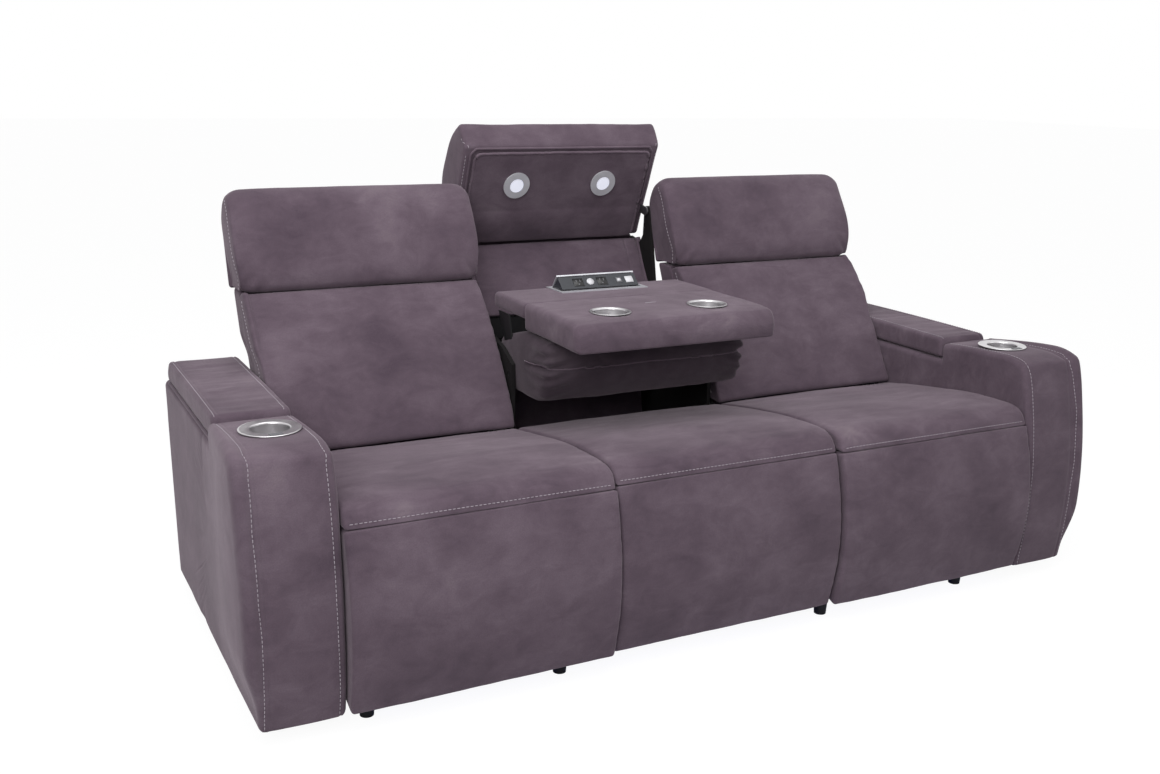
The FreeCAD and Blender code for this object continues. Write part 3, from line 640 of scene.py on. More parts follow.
armForm = {
    "corners": [(0, 35), (903, 35), (950, 544), (340, 544), (340, 590), (140, 604), (66, 602),
                (24, 560)],
    "crowns": [0, 2, 0, 0, 2, 1.5, 12, 29],
    "rounds": [8, 8, 6, 4, 12, 30, 26, 30],
    "half": armHalf + 3, "edge": 14, "drawIn": 2, "power": 4.0, "endCrown": 1.2, "middle": (300, 330),
    "crownAtEnds": 0.85, "endRows": (0.985, 0.95, 0.88, 0.78, 0.66, 0.53, 0.4, 0.27, 0.14),
    "cell": 9, "step": 8, "seams": (-armHalf + 15, armHalf - 15), "shift": 3, "swell": 13,
    "cupY": 199.0, "cupRadius": 44.0, "cupDepth": 78,
    "binX": 53.6, "binY": (400.5, 876.5), "binZ": (538, 552), "binDepth": 216,
    "frontLine": [(2, 45), (-14, 180), (-22, 320), (-10, 460), (22, 565), (60, 606), (140, 608),
                  (330, 594)],
    "stitchIn": (18.5, 4.5), "sideSeam": [(440, 545), (470, 452), (528, 311), (560, 194), (566, 45)]}


foldSet = {"z": 545.6, "y": (352, 500, 700, 900), "radius": 0.0042}


def seamPath(points, x):
    return [place(x, y, z) for y, z in points]


def nearLine(y, z, line):                 # distance from (y, z) to a polyline, in millimetres
    best = 1e9
    for (ya, za), (yb, zb) in zip(line, line[1:]):
        dy, dz = yb - ya, zb - za
        t = min(max(((y - ya) * dy + (z - za) * dz) / (dy * dy + dz * dz), 0), 1)
        best = min(best, math.hypot(y - ya - dy * t, z - za - dz * t))
    return best


def armSurface(side):
    form = armForm
    centre = side * armMiddle

    def shift(x, y, z, n):
        soft = undulate(x, y, z, 190, 1) * 2.0 + undulate(x, y, z, 70, 2) * 0.7
        out = (x - centre) * side
        outwards = smoothStep(0.2, 0.9, n.x * side)
        swell = form["swell"] * outwards * bell(y, 60, 240) * smoothStep(60, 200, z)
        if n.y < -0.2 or n.z > 0.2:
            soft -= 1.5 * bell(abs(x - centre), form["seams"][1], 2.2)
        if out > armHalf - 3:
            far = nearLine(y, z, form["sideSeam"])
            soft += 1.2 * smoothStep(0, 60, far) - 2.4 * math.exp(-(far / 4.0) ** 2)
            soft += 1.3 * undulate(x, y, z, 60, 3, (1, 2.2, 0.7)) * math.exp(-(far / 70) ** 2)
            soft = min(soft, 1.4) + swell
        if abs(x - centre) > armHalf - 3 and out < 0:
            soft = min(soft, 0.8)
        elif out > 0:
            soft += swell
        hidden = smoothStep(544, 534, z) if y > 330 else 1.0
        return soft * hidden
    return shift


for side, word in ((-1, "left"), (1, "right")):
    bm = formMesh(*sweptForm(armForm, side * (armMiddle + armForm["shift"])))
    shapeSurface(bm, armSurface(side))
    roundHole(bm, side * armMiddle, armForm["cupY"], armForm["cupRadius"], armForm["cupDepth"])
    binX = sorted(side * armMiddle + d * armForm["binX"] for d in (-1, 1))
    boxHole(bm, binX, armForm["binY"], armForm["binZ"], armForm["binDepth"])
    arm = finishMesh(word + "_armCover", bm, suedeMain)
    dress(arm, "base", [word + "_arm_cover"])
    tree = surfaceTree(arm)
    thread = bmesh.new()
    for across, inwards in zip((-1, 1), armForm["stitchIn"]):
        x = side * (armMiddle + across * (armHalf - inwards))
        stitchRun(thread, tree, seamPath(armForm["frontLine"], x))
    trimPiece(word + "_armStitching", thread, threadMaterial, "base")
    cover = bmesh.new()                   # fabric fold that hides the hinge under the lid
    line = [place(side * (sofa["armOuter"] + 1), y, foldSet["z"]) for y in foldSet["y"]]
    spots = evenPoints(line, 0.01)
    tubeAlong(cover, spots, [foldSet["radius"]] * len(spots), [Vector((0, 0, 1))] * len(spots), 10)
    # The fold wears the darker suede copy: painted shade for the crease under the lid.
    trimPiece(word + "_hingeFold", cover, suedePaintedShade, "base")

lidForm = {
    "corners": [(345, 547.7), (925, 547.7), (910, 590), (885, 603), (353, 602)],
    "crowns": [0, 6, 4, 2, 3], "rounds": [6, 8, 16, 14, 12],
    "half": armHalf - 1, "edge": 10, "drawIn": 2, "power": 4.0, "endCrown": 1.0, "crownAtEnds": 0.8,
    "endRows": (0.96, 0.85, 0.6, 0.3), "cell": 7, "step": 7, "seams": (-armHalf + 15, armHalf - 15),
    "stitchIn": (18.5, 4.5), "stitchLine": [(352, 606), (600, 610), (880, 608)], "shift": 3}


def lidSurface(x, y, z, n):
    if n.z < 0.3:
        return 0.0
    ripple = undulate(x, y, z, 150, 5, (0.5, 4.5, 1)) * 2.0 + undulate(x, y, z, 70, 6, (0.6, 5, 1)) * 0.9
    fromMiddle = abs(abs(x) - armMiddle)
    seam = bell(fromMiddle, lidForm["seams"][1], 2.2)
    return ripple * smoothStep(armHalf - 4, armHalf - 40, fromMiddle) - 1.7 * seam


for side, word in ((-1, "left"), (1, "right")):
    centre = side * (armMiddle + lidForm["shift"])
    lid = softPiece(word + "_armLid", lidForm, centre, lidSurface, suedeSeat, word + "_lid",
                    [word + "_arm_lid"])
    tree = surfaceTree(lid)
    thread = bmesh.new()
    for across, inwards in zip((-1, 1), lidForm["stitchIn"]):
        x = side * (armMiddle + across * (armHalf - inwards))
        stitchRun(thread, tree, seamPath(lidForm["stitchLine"], x))
    trimPiece(word + "_lidStitching", thread, threadMaterial, word + "_lid")
print("arms and lids made")

# Cups: spun steel with a broad flat ring or a thin rolled rim

armCup = {"bore": 41.0, "outer": 43.0, "ring": 64.5, "top": 608.0, "bottom": 526.0, "flange": 2.6,
          "dish": 0.5}
consoleCup = {"bore": 44.0, "outer": 46.0, "ring": 52.0, "top": 757.2, "bottom": 692.0, "flange": 1.8,
              "dish": 0.2, "x": 140.0, "y": 363.0}


def cupProfile(cup):
    bore, outer, ring, top, bottom, flange, dish = (cup[k] for k in (
        "bore", "outer", "ring", "top", "bottom", "flange", "dish"))
    return [(0.5, bottom), (outer - 5, bottom), (outer, bottom + 5), (outer, top - flange),
            (ring - 1.2, top - flange), (ring, top - flange * 0.6), (ring, top - flange * 0.35),
            (ring - 1.4, top), (ring - 4, top - 0.1), ((ring + bore) / 2, top - dish),
            (bore + 3, top - 0.2), (bore + 1, top - 0.6), (bore, top - 2), (bore, top - 5),
            (bore - 0.4, bottom + 9), (bore - 5, bottom + 2.4), (0.5, bottom + 2)]


for side, word in ((-1, "left"), (1, "right")):
    bm = bmesh.new()
    latheShell(bm, (side * armMiddle, armForm["cupY"]), cupProfile(armCup))
    trimPiece(word + "_armCup", bm, steelMaterial, "base", [word + "_cup_holder"])
    bm = bmesh.new()
    latheShell(bm, (side * consoleCup["x"], consoleCup["y"]), cupProfile(consoleCup))
    trimPiece("console_" + word + "CupLiner", bm, steelMaterial, "console",
              ["console_%s_cup" % word])

# Seats and the padded fronts below them

seatForm = {
    "corners": [(-8, 440), (70, 437), (92, 328), (574, 328), (552, 429), (300, 472), (24, 486)],
    "crowns": [0, 0, 0, 0, 3, 9, 6], "rounds": [3, 10, 10, 12, 20, 60, 30], "crownAtEnds": 0.5,
    "half": sofa["half"], "edge": 9, "drawIn": 5, "power": 2.6, "endCrown": 1.5, "cell": 9, "step": 9}
frontForm = {
    "corners": [(-15, 40), (34, 58), (44, 434), (-9, 439)], "crowns": [0, 0, 0, 33],
    "rounds": [10, 8, 8, 3], "half": sofa["half"], "edge": 8, "drawIn": 2, "endCrown": 1.0,
    "crownAtEnds": 0.95, "cell": 9, "step": 9}


def pushedBack(form, step, which):
    moved = dict(form)
    moved["corners"] = [(y + step if k in which else y, z) for k, (y, z) in enumerate(form["corners"])]
    return moved


def seatSurface(centre):
    def shift(x, y, z, n):
        top = smoothStep(-0.2, 0.5, n.z)
        soft = undulate(x, y, z, 170, 9) * 2.6 + undulate(x, y, z, 60, 11, (0.7, 1.6, 1)) * 0.9
        corner = bell(abs(x - centre), 306, 70) * bell(y, 10, 90)
        soft += corner * 1.6 * undulate(x, y, z, 26, 12, (1.6, 0.7, 0.7))
        return soft * top
    return shift


def frontSurface(centre):
    def shift(x, y, z, n):
        soft = undulate(x, y, z, 200, 13) * 2.2 + undulate(x, y, z, 80, 14, (1.8, 1, 0.6)) * 0.7
        edge = bell(abs(x - centre), 306, 60)
        soft += edge * 1.2 * undulate(x, y, z, 30, 15, (0.6, 1, 1.8))
        return soft * smoothStep(0.2, -0.4, n.y)
    return shift


seatRow = {"steps": {"left": 0, "middle": 18, "right": 6}, "stitchAt": (-10, 453), "stitchIn": 12,
           "points": 20}
for word, across in (("left", -1), ("middle", 0), ("right", 1)):
    centre, step = across * sofa["seatX"], seatRow["steps"][word]
    form = pushedBack(seatForm, step, (0, 1, 6))
    seat = softPiece(word + "_seatCushion", form, centre, seatSurface(centre), suedeSeat, "base",
                     [word + "_seat_cushion"])
    thread = bmesh.new()
    ends, count = sofa["half"] - seatRow["stitchIn"], seatRow["points"]
    y, z = seatRow["stitchAt"]
    stitchRun(thread, surfaceTree(seat),
              [place(centre + ends * k / count, step + y, z) for k in range(-count, count + 1)])
    trimPiece(word + "_seatStitching", thread, threadMaterial, "base")
    piece, body, node = ("_frontPanel", "base", "_front_panel") if word == "middle" else (
        "_footrestPad", word + "_footrest", "_footrest_pad")
    form = pushedBack(frontForm, step, (0, 1, 2, 3))
    softPiece(word + piece, form, centre, frontSurface(centre), suedeMain, body, [word + node])
print("seats and fronts made")

# Reclining backs: lumbar cushion, head pillow and outside back

lumbarForm = {
    "corners": [(534, 430), (640, 432), (835, 762), (787, 779)], "crowns": [0, 0, 3, 21],
    "rounds": [26, 12, 10, 8], "half": sofa["half"], "edge": 7, "drawIn": 1, "power": 3.0, "endRound": 0.6,
    "crownAtEnds": 0.75, "endCrown": 1, "cell": 9, "step": 9}
pillowForm = {
    "corners": [(797, 777), (899, 776), (951, 955), (926, 1018), (876, 1020), (784, 816)],
    "crowns": [0, 4, 8, 6, 13, 6], "rounds": [14, 12, 30, 22, 26, 34], "half": 322.5, "edge": 8,
    "drawIn": 2, "power": 3.4, "endRound": 0.3, "crownAtEnds": 0.45, "endCrown": 2, "cell": 8, "step": 8,
    "x": 624.5, "topCorner": 44, "topFrom": (880, 1010)}
outsideForm = {
    "corners": [(636, 436), (724, 437), (893, 777), (826, 777)], "crowns": [0, 6, 0, 0],
    "rounds": [6, 8, 8, 6], "half": 308.2, "edge": 6, "drawIn": 1, "endCrown": 0.6, "cell": 10, "step": 10,
    "x": 616.6}
hangingForm = {
    "corners": [(668, 446), (688, 400), (680, 150), (704, 150), (725, 440)], "crowns": [0, 0, 0, 0, 0],
    "rounds": [4, 10, 6, 6, 10], "half": 297, "edge": 6, "drawIn": 2, "endCrown": 0.5, "cell": 10, "step": 10,
    "middle": (696, 300)}


backStitch = {"past": 3, "lumbar": [(582, 450), (640, 540), (740, 690), (800, 762)],
              "pillow": [(812, 786), (812, 830), (876, 975), (900, 1002)]}


def sideSwell(z, n, centre):              # the outer side swells above the arm
    side = -1 if centre < 0 else 1
    return 11.0 * smoothStep(0.1, 0.8, n.x * side) * smoothStep(612, 680, z)


def roundTopCorners(bm, centre, half):
    radius, (low, high) = pillowForm["topCorner"], pillowForm["topFrom"]
    for v in bm.verts:
        over = min(abs(v.co.x * 1000 - centre) - (half - radius), radius)
        if over > 0:
            drop = radius - math.sqrt(radius ** 2 - over ** 2)
            v.co.z -= 0.0008 * drop * smoothStep(low, high, v.co.z * 1000)


def lumbarSurface(centre):
    def shift(x, y, z, n):
        soft = undulate(x, y, z, 170, 21) * 2.6 + undulate(x, y, z, 60, 22, (1.4, 1, 0.8)) * 0.8
        side = bell(abs(x - centre), 300, 55)
        soft += side * 1.8 * undulate(x, y, z, 34, 23, (0.5, 1, 2.0))
        soft -= 4.0 * bell(abs(x - centre), 306, 18) * bell(z, 774, 14)
        return soft * smoothStep(0.25, -0.3, n.y) + sideSwell(z, n, centre)
    return shift


def pillowSurface(centre):
    def shift(x, y, z, n):
        soft = undulate(x, y, z, 150, 25) * 2.2 + undulate(x, y, z, 55, 26, (1.2, 1, 1)) * 0.8
        reach = abs(x - centre)
        low = bell(z, 800, 46)
        soft += 3.0 * smoothStep(290, 180, reach) * bell(z, 822, 26)  # the roll swells in the middle
        soft -= 11.0 * smoothStep(272, 316, reach) * low             # ends pinch towards the side seams
        fan = math.sin((reach - 235) * 0.16 + (z - 790) * 0.11)
        soft += 2.4 * fan * smoothStep(240, 275, reach) * smoothStep(318, 300, reach) * bell(z, 808, 34)
        return soft * smoothStep(0.5, -0.2, n.y)
    return shift


for side, word in ((-1, "left"), (1, "right")):
    centre, pillowCentre = side * sofa["seatX"], side * pillowForm["x"]
    lumbar = softPiece(word + "_lumbarCushion", lumbarForm, centre, lumbarSurface(centre), suedeMain,
                       word + "_back", [word + "_back_cushion"])
    bm = formMesh(*sweptForm(pillowForm, pillowCentre))
    shapeSurface(bm, pillowSurface(pillowCentre))
    roundTopCorners(bm, pillowCentre, pillowForm["half"] + 2)
    pillow = finishMesh(word + "_headPillow", bm, suedeMain)
    dress(pillow, word + "_headrest", [word + "_head_pillow"])
    bm = formMesh(*sweptForm(outsideForm, side * outsideForm["x"]))
    shapeSurface(bm, lambda x, y, z, n: sideSwell(z, n, centre))
    joinBm(bm, formMesh(*sweptForm(hangingForm, centre)))
    outside = finishMesh(word + "_outsideBack", bm, suedeMain)
    dress(outside, word + "_back", [word + "_back_cover"])
    lumbarTree, pillowTree = surfaceTree(lumbar), surfaceTree(pillow)
    thread, upper = bmesh.new(), bmesh.new()
    for across in (-1, 1):
        reach = sofa["half"] + backStitch["past"]
        stitchRun(thread, lumbarTree, seamPath(backStitch["lumbar"], centre + across * reach))
        reach = pillowForm["half"] + backStitch["past"]
        stitchRun(upper, pillowTree, seamPath(backStitch["pillow"], pillowCentre + across * reach))
    trimPiece(word + "_lumbarStitching", thread, threadMaterial, word + "_back")
    trimPiece(word + "_pillowStitching", upper, threadMaterial, word + "_headrest")
print("reclining backs made")

# Middle seat's back: recess panel, side rolls and rear cover

recessForm = {
    "corners": [folded(232, 207), folded(232, 231), folded(450, 231), folded(450, 207)],
    "crowns": [0, 0, 0, 5], "rounds": [6, 6, 6, 6], "half": 293, "edge": 6, "drawIn": 3, "endCrown": 0.5,
    "seams": (-252, 252), "cell": 9, "step": 9}
lowerSheetForm = {
    "corners": [(868, 455), (874, 455), folded(236, 223), folded(236, 217), folded(165, 201)],
    "crowns": [0] * 5, "rounds": [2] * 5, "half": 288, "edge": 2, "drawIn": 0.5, "endCrown": 0.3,
    "middle": (868, 560), "endRows": (0.95,), "cell": 14, "step": 14}
rearForm = {
    "corners": [(908, 62), (930, 62), (960, 300), (1010, 600), (1076, 846), (1053, 846), (988, 600),
                (938, 300)],
    "crowns": [0] * 8, "rounds": [7, 7, 40, 60, 8, 8, 60, 40], "half": 306, "edge": 7, "drawIn": 3,
    "endCrown": 0.5, "middle": (975, 450), "endRows": (0.9,), "cell": 12, "step": 12}


rollSet = {"x": 299, "behind": 203, "wave": 6, "radius": 0.0085}


def recessSurface(x, y, z, n):
    soft = undulate(x, y, z, 150, 28) * 2.0 - 2.4 * bell(abs(x), recessForm["seams"][1], 2.4)
    return soft * smoothStep(0.3, -0.3, n.y)


def rearSurface(x, y, z, n):
    return undulate(x, y, z, 260, 29) * 1.5 - 0.5


softPiece("middle_recessPanel", recessForm, 0.0, recessSurface, suedeMain, "base",
          ["middle_back_panel"])
# A black sheet fills the space below the recess panel.
dress(finishMesh("middle_lowerSheet", formMesh(*sweptForm(lowerSheetForm)), blackSheet), "base")
softPiece("middle_rearCover", rearForm, 0.0, rearSurface, suedeMain, "base", ["middle_rear_cover"])
bm = bmesh.new()
for side in (-1, 1):                      # fabric rolls along the edges of the side boards
    behind, wave = rollSet["behind"], rollSet["wave"]
    line = [place(side * rollSet["x"], *folded(s, behind - wave * math.sin(s / 70)))
            for s in range(160, 446, 15)]
    spots = evenPoints(line, 0.008)
    tubeAlong(bm, spots, [rollSet["radius"]] * len(spots), [Vector((0, -1, 0))] * len(spots), 12)
trimPiece("middle_sideRolls", bm, suedeMain, "base")

# Drop-down console: table, pad below it, power unit

slabForm = {
    "corners": [(257, 679), (415, 681), (556, 681), (556, 752), (292, 752), (260, 738)],
    "crowns": [0, 0, 0, 3, 4, 5], "rounds": [7, 20, 6, 6, 34, 26], "half": 286, "edge": 16, "drawIn": 4,
    "power": 3.4, "endRound": 0.7, "crownAtEnds": 0.5, "endCrown": 1, "cell": 7, "step": 7,
    "cupRadius": 46.5, "cupDepth": 61}
slabRearForm = {
    "corners": [(548, 711), (748, 711), (748, 752), (548, 752.5)], "crowns": [0, 0, 1, 0],
    "rounds": [12, 8, 12, 8], "half": 285, "edge": 10, "drawIn": 2, "endCrown": 1, "cell": 7, "step": 7,
    "well": ((-124.6, 124.6), (654, 743), (745, 760)), "wellDepth": 58}
slabCoreForm = {
    "corners": [(550, 686), (746, 686), (746, 714), (550, 714)], "crowns": [0, 0, 0, 0],
    "rounds": [6, 6, 6, 6], "half": 225, "edge": 6, "drawIn": 1, "endCrown": 0.5, "cell": 9, "step": 9}
padForm = {
    "corners": [(394, 612), (410, 548), (450, 518), (520, 509), (684, 514), (702, 644), (566, 680),
                (412, 680)],
    "crowns": [4, 7, 3, 0, 0, 0, 0, 10], "rounds": [4, 24, 30, 30, 20, 20, 20, 10], "half": 291,
    "edge": 20, "drawIn": 8, "power": 3.0, "endCrown": 5, "cell": 7, "step": 7, "middle": (540, 600),
    "crownAtEnds": 0.6,
    "endRows": (0.97, 0.92, 0.84, 0.7, 0.5, 0.25)}


padWelt = {
    "line": [(-296, 520, 612), (-290, 440, 612), (-262, 405, 611), (-200, 395, 610), (0, 393, 610),
             (200, 395, 610), (262, 405, 611), (290, 440, 612), (296, 520, 612)],
    "radius": 0.0017, "sink": 0.2}


def slabSurface(x, y, z, n):
    ripple = undulate(x, y, z, 60, 31, (1.6, 0.8, 1)) * 1.3 + undulate(x, y, z, 130, 32) * 1.6
    nearCup = min(math.hypot(abs(x) - consoleCup["x"], y - consoleCup["y"]) - 50, 60)
    quiet = smoothStep(0, 30, nearCup) if n.z > 0.5 else 1.0
    low = smoothStep(-0.6, 0.0, n.z)
    return ripple * quiet * low - 1.5 * bell(y, 268, 5) * bell(n.z, -0.7, 0.3)


def padSurface(x, y, z, n):
    seam = bell(z, 610, 2.6) * smoothStep(470, 440, y)
    soft = undulate(x, y, z, 120, 33) * 2.6 + undulate(x, y, z, 45, 34, (1.5, 1, 0.8)) * 1.0
    corner = smoothStep(180, 285, abs(x)) * smoothStep(520, 420, y)
    pleats = math.sin(z * 0.21 + abs(x) * 0.05) * bell(z, 612, 70)
    soft += corner * (5.0 * pleats - 7.0 * bell(z, 612, 16))
    gather = math.sin(abs(x) * 0.13 + z * 0.05) * bell(z, 612, 30) * smoothStep(60, 220, abs(x))
    soft += 0.9 * gather * smoothStep(0.1, -0.5, n.y)
    return soft - 2.6 * seam


bm = formMesh(*sweptForm(slabForm))
shapeSurface(bm, slabSurface)
for side in (-1, 1):
    roundHole(bm, side * consoleCup["x"], consoleCup["y"], slabForm["cupRadius"], slabForm["cupDepth"])
rearPart = formMesh(*sweptForm(slabRearForm))
boxHole(rearPart, *slabRearForm["well"], slabRearForm["wellDepth"])
joinBm(rearPart, formMesh(*sweptForm(slabCoreForm)))
joinBm(bm, rearPart)
slab = finishMesh("console_slabCover", bm, suedeSeat)
dress(slab, "console", ["console_slab"])
# The pad wears the much darker suede copy: painted shade for the shadow under the table.
pad = softPiece("console_padCushion", padForm, 0.0, padSurface, suedePadPaintedShade, "console",
                ["console_pad"])
bm = bmesh.new()
weltRun(bm, surfaceTree(pad), [place(*p) for p in padWelt["line"]], padWelt["radius"], padWelt["sink"])
trimPiece("console_padWelt", bm, suedeMain, "console")

socketSet = {"foot": (671.5, 757.0), "top": (703.0, 785.0), "half": 117.0, "outletX": (-62.0, 10.0),
             "lightX": -26.0, "portX": 62.0, "busX": 94.0,
             "wedge": [(671.5, 757.2), (703.0, 785.0), (727.5, 757.6)]}


def onFascia(x, up, out):                 # point on the leaning face of the power unit's wedge
    (ya, za), (yb, zb) = socketSet["foot"], socketSet["top"]
    length = math.hypot(yb - ya, zb - za)
    dy, dz = (yb - ya) / length, (zb - za) / length
    return place(x, ya + dy * up - dz * out, za + dz * up + dy * out)


def fasciaBlock(bm, x, halfX, low, high, base, top, bevel=0.8):
    foot = [onFascia(x + sx * halfX, v, base) for sx, v in ((-1, low), (1, low), (1, high), (-1, high))]
    head = [onFascia(x + sx * (halfX - bevel), v, top) for sx, v in
            ((-1, low + bevel), (1, low + bevel), (1, high - bevel), (-1, high - bevel))]
    a = [bm.verts.new(p) for p in foot]
    b = [bm.verts.new(p) for p in head]
    bm.faces.new(a)
    bm.faces.new(b)
    for k in range(4):
        m = (k + 1) % 4
        bm.faces.new((a[k], a[m], b[m], b[k]))


def fasciaDisc(bm, x, up, radius, base, top, sides=28):
    turns = [2 * math.pi * k / sides for k in range(sides)]
    inner = radius - 0.6
    lower = [bm.verts.new(onFascia(x + radius * math.cos(a), up + radius * math.sin(a), base)) for a in turns]
    upper = [bm.verts.new(onFascia(x + inner * math.cos(a), up + inner * math.sin(a), top)) for a in turns]
    bm.faces.new(lower)
    bm.faces.new(upper)
    for k in range(sides):
        m = (k + 1) % sides
        bm.faces.new((lower[k], lower[m], upper[m], upper[k]))


bm = bmesh.new()
ends = [[bm.verts.new(place(x, y, z)) for y, z in socketSet["wedge"]]
        for x in (-socketSet["half"], socketSet["half"])]
bm.faces.new(ends[0])
bm.faces.new(ends[1])
for k in range(3):
    m = (k + 1) % 3
    bm.faces.new((ends[0][k], ends[0][m], ends[1][m], ends[1][k]))
bmesh.ops.bevel(bm, geom=list(bm.edges), offset=0.0012, segments=2, affect="EDGES", profile=0.5)
bmesh.ops.recalc_face_normals(bm, faces=bm.faces)
body = finishMesh("power_fascia", bm, fasciaMaterial, smooth=False)
dress(body, "power_lid", ["power_unit_sockets"])
dark, white, grey = bmesh.new(), bmesh.new(), bmesh.new()
for x in socketSet["outletX"]:
    fasciaBlock(dark, x, 15.5, 8, 35, -0.6, 1.4)
    for across in (-5.5, 5.5):
        fasciaBlock(grey, x + across, 1.3, 22, 30, 0.8, 1.9, 0.2)
    fasciaDisc(grey, x, 14.5, 2.6, 0.8, 1.9, 16)
fasciaDisc(white, socketSet["lightX"], 21.5, 11.0, -0.6, 2.6)
fasciaBlock(grey, socketSet["portX"], 8.5, 12, 31, -0.6, 1.8)
fasciaBlock(white, socketSet["portX"], 5.5, 17, 26, 0.6, 2.1, 0.4)
fasciaBlock(white, socketSet["busX"], 12.0, 11, 32, -0.6, 1.8)
trimPiece("power_outlets", dark, blackPlastic, "power_lid")
trimPiece("power_ports", white, whitePlastic, "power_lid")
trimPiece("power_contacts", grey, greyPad, "power_lid")
print("console made")

# Flip-up headrest with its framed face

headForm = {
    "corners": [(1013, 847.3), (1066, 866), (1084, 1016), (1012, 1142), (938, 1181), (899, 1120)],
    "crowns": [2, 8, 6, 4, 5, 0], "rounds": [12, 24, 40, 30, 12, 8], "half": 304, "edge": 9, "drawIn": 2,
    "power": 3.6, "endRound": 0.6, "crownAtEnds": 0.6, "endCrown": 3, "cell": 8, "step": 8}


def facePoint(share, inwards):
    low, high = (1000.0, 842.0), (892.0, 1108.0)
    length = math.hypot(high[0] - low[0], high[1] - low[1])
    inward = ((high[1] - low[1]) / length, -(high[0] - low[0]) / length)
    return (low[0] + (high[0] - low[0]) * share + inward[0] * inwards,
            low[1] + (high[1] - low[1]) * share + inward[1] * inwards)


faceForm = {
    "corners": [facePoint(0.97, 13.6), facePoint(0.02, 13.6), facePoint(0.0, 2.5), facePoint(0.3, -1.0),
                facePoint(0.36, 2.0), facePoint(0.97, 2.2)][::-1],
    "crowns": [0, 0, 3, 0, 0, 0], "rounds": [8, 4, 10, 10, 5, 5], "half": 272, "edge": 8, "drawIn": 3,
    "endCrown": 0.5, "cell": 7, "step": 7}


headTrim = {"welts": ((2.0, 0.0042), (12.0, 0.0036)), "sideX": 300,
            "cornerStitch": [(292, 905, 1118), (303, 925, 1146)]}


def headSurface(x, y, z, n):
    soft = undulate(x, y, z, 130, 35) * 2.4 + undulate(x, y, z, 55, 36, (1.3, 1, 1)) * 0.8
    return soft * (0.35 if n.y < -0.55 else 1.0)


def faceSurface(x, y, z, n):
    soft = undulate(x, y, z, 110, 37) * 2.0 + undulate(x, y, z, 50, 38, (1, 1, 1.6)) * 0.8
    pull = math.sin((x - 225) * 0.09 + (z - 1010) * 0.06)
    soft += 1.5 * pull * bell(x, 225, 55) * bell(z, 1030, 60)
    aside = abs(x + 140)
    soft += 1.0 * math.sin((aside - 30) * 0.14 + z * 0.05) * bell(aside, 52, 30) * bell(z, 1000, 40)
    return soft * smoothStep(0.1, -0.5, n.y)


head = softPiece("middle_headrestPillow", headForm, 0.0, headSurface, suedeMain, "middle_headrest",
                 ["middle_headrest_pillow"])
# The framed face wears the darker suede copy: painted shade.
face = softPiece("middle_headrestFace", faceForm, 0.0, faceSurface, suedePaintedShade, "middle_headrest",
                 ["middle_headrest_panel"])
bm = bmesh.new()
headTree = surfaceTree(head, face)
for grow, radius in headTrim["welts"]:
    reach = faceForm["half"] + grow
    top = 0.975 + grow / 290
    line = [(-reach, 0.04), (-reach, top - 0.06), (-reach + 14, top), (reach - 14, top),
            (reach, top - 0.06), (reach, 0.04)]
    path = [place(x, *facePoint(share, 0.5)) for x, share in line]
    weltRun(bm, headTree, path, radius, 0.35)
trimPiece("middle_headrestWelts", bm, suedeMain, "middle_headrest")
thread = bmesh.new()
for side in (-1, 1):
    stitchRun(thread, headTree, [place(side * x, y, z) for x, y, z in headTrim["cornerStitch"]])
    sideLine = [place(side * headTrim["sideX"], *facePoint(s, 4)) for s in (0.05, 0.5, 0.95)]
    stitchRun(thread, headTree, sideLine)
trimPiece("middle_headrestStitching", thread, threadMaterial, "middle_headrest")
print("headrest made")

# Stage, light and camera

stageSet = {"floorSize": 60.0, "floorColour": (0.55, 0.55, 0.56, 1.0), "floorGlow": 1.17, "glowShare": 0.8,
            "ambient": 0.36}


def backdropMaterial():
    material = bpy.data.materials.new("paleStudioFloor")
    material.use_nodes = True
    tree = material.node_tree
    shader = tree.nodes["Principled BSDF"]
    shader.inputs["Base Color"].default_value = stageSet["floorColour"]
    shader.inputs["Roughness"].default_value = 0.9
    shader.inputs["Specular IOR Level"].default_value = 0.2
    glow = tree.nodes.new("ShaderNodeEmission")
    glow.inputs["Strength"].default_value = stageSet["floorGlow"]
    rays = tree.nodes.new("ShaderNodeLightPath")
    share = addNode(tree, "ShaderNodeMath", operation="MULTIPLY", in_1=stageSet["glowShare"])
    tree.links.new(rays.outputs["Is Camera Ray"], share.inputs[0])
    mix = tree.nodes.new("ShaderNodeMixShader")
    tree.links.new(share.outputs[0], mix.inputs["Fac"])
    tree.links.new(shader.outputs["BSDF"], mix.inputs[1])
    tree.links.new(glow.outputs["Emission"], mix.inputs[2])
    tree.links.new(mix.outputs["Shader"], tree.nodes["Material Output"].inputs["Surface"])
    return material


floorMesh = bpy.data.meshes.new("studioFloor")
reach = stageSet["floorSize"] / 2
corners = [(-reach, -reach, 0), (reach, -reach, 0), (reach, reach, 0), (-reach, reach, 0)]
floorMesh.from_pydata(corners, [], [(0, 1, 2, 3)])
floorMesh.materials.append(backdropMaterial())
floorObj = bpy.data.objects.new("studioFloor", floorMesh)
bpy.context.scene.collection.objects.link(floorObj)

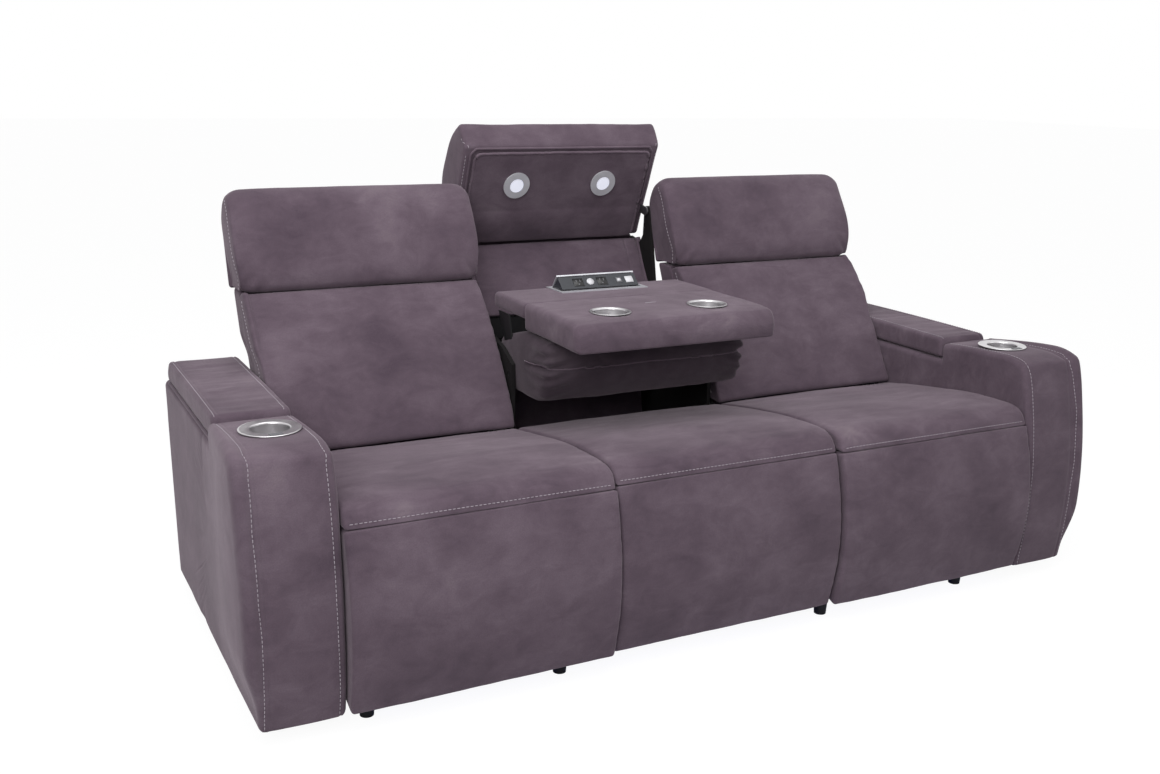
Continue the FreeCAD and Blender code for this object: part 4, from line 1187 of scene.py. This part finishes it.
world = bpy.data.worlds.new("studioWorld")
bpy.context.scene.world = world
world.use_nodes = True
tree = world.node_tree
ambient = tree.nodes["Background"]
ambient.inputs["Color"].default_value = (1.0, 1.0, 1.0, 1.0)
ambient.inputs["Strength"].default_value = stageSet["ambient"]
plain = tree.nodes.new("ShaderNodeBackground")
plain.inputs["Strength"].default_value = 1.0
plain.inputs["Color"].default_value = (1.0, 1.0, 1.0, 1.0)
rays = tree.nodes.new("ShaderNodeLightPath")
seen = addNode(tree, "ShaderNodeMath", operation="MAXIMUM")
tree.links.new(rays.outputs["Is Camera Ray"], seen.inputs[0])
tree.links.new(rays.outputs["Is Glossy Ray"], seen.inputs[1])
choose = tree.nodes.new("ShaderNodeMixShader")
tree.links.new(seen.outputs[0], choose.inputs["Fac"])
tree.links.new(ambient.outputs["Background"], choose.inputs[1])
tree.links.new(plain.outputs["Background"], choose.inputs[2])
tree.links.new(choose.outputs["Shader"], tree.nodes["World Output"].inputs["Surface"])

lampSet = {
    "overhead": {"at": (-0.5, -0.9, 3.6), "aim": (0, 0.1, 0.5), "size": (3.4, 2.4), "watts": 74},
    "frontLeft": {"at": (-3.0, -3.4, 2.8), "aim": (0, 0, 0.6), "size": (2.2, 2.2), "watts": 96},
    "frontRight": {"at": (3.4, -3.2, 2.4), "aim": (0, 0, 0.5), "size": (2.0, 2.0), "watts": 10}}
for name, lamp in lampSet.items():
    data = bpy.data.lights.new(name, "AREA")
    data.shape = "RECTANGLE"
    data.size, data.size_y = lamp["size"]
    data.energy = lamp["watts"]
    lampObj = bpy.data.objects.new(name, data)
    lampObj.location = lamp["at"]
    lampObj.rotation_mode = "QUATERNION"
    lampObj.rotation_quaternion = (Vector(lamp["aim"]) - Vector(lamp["at"])).to_track_quat("-Z", "Y")
    bpy.context.scene.collection.objects.link(lampObj)

cameraSet = {"at": (-1.552, -2.7268, 1.322), "yaw": 27.38, "pitch": 14.49, "roll": 1.06,
             "lens": 37.84, "sensor": 36.0}


def makeCamera(s):
    yaw, pitch, roll = (math.radians(s[k]) for k in ("yaw", "pitch", "roll"))
    ahead = Vector((math.sin(yaw) * math.cos(pitch), math.cos(yaw) * math.cos(pitch), -math.sin(pitch)))
    right = Vector((math.cos(yaw), -math.sin(yaw), 0))
    up = right.cross(ahead)
    turnedRight = right * math.cos(roll) + up * math.sin(roll)
    turnedUp = up * math.cos(roll) - right * math.sin(roll)
    data = bpy.data.cameras.new("photoCamera")
    data.lens, data.sensor_width = s["lens"], s["sensor"]
    camera = bpy.data.objects.new("photoCamera", data)
    bpy.context.scene.collection.objects.link(camera)
    rows = [(turnedRight[i], turnedUp[i], -ahead[i], s["at"][i]) for i in range(3)]
    camera.matrix_world = Matrix(rows + [(0, 0, 0, 1)])
    bpy.context.scene.camera = camera


makeCamera(cameraSet)
bpy.context.scene.view_settings.view_transform = "Standard"
print("stage, light and camera made")
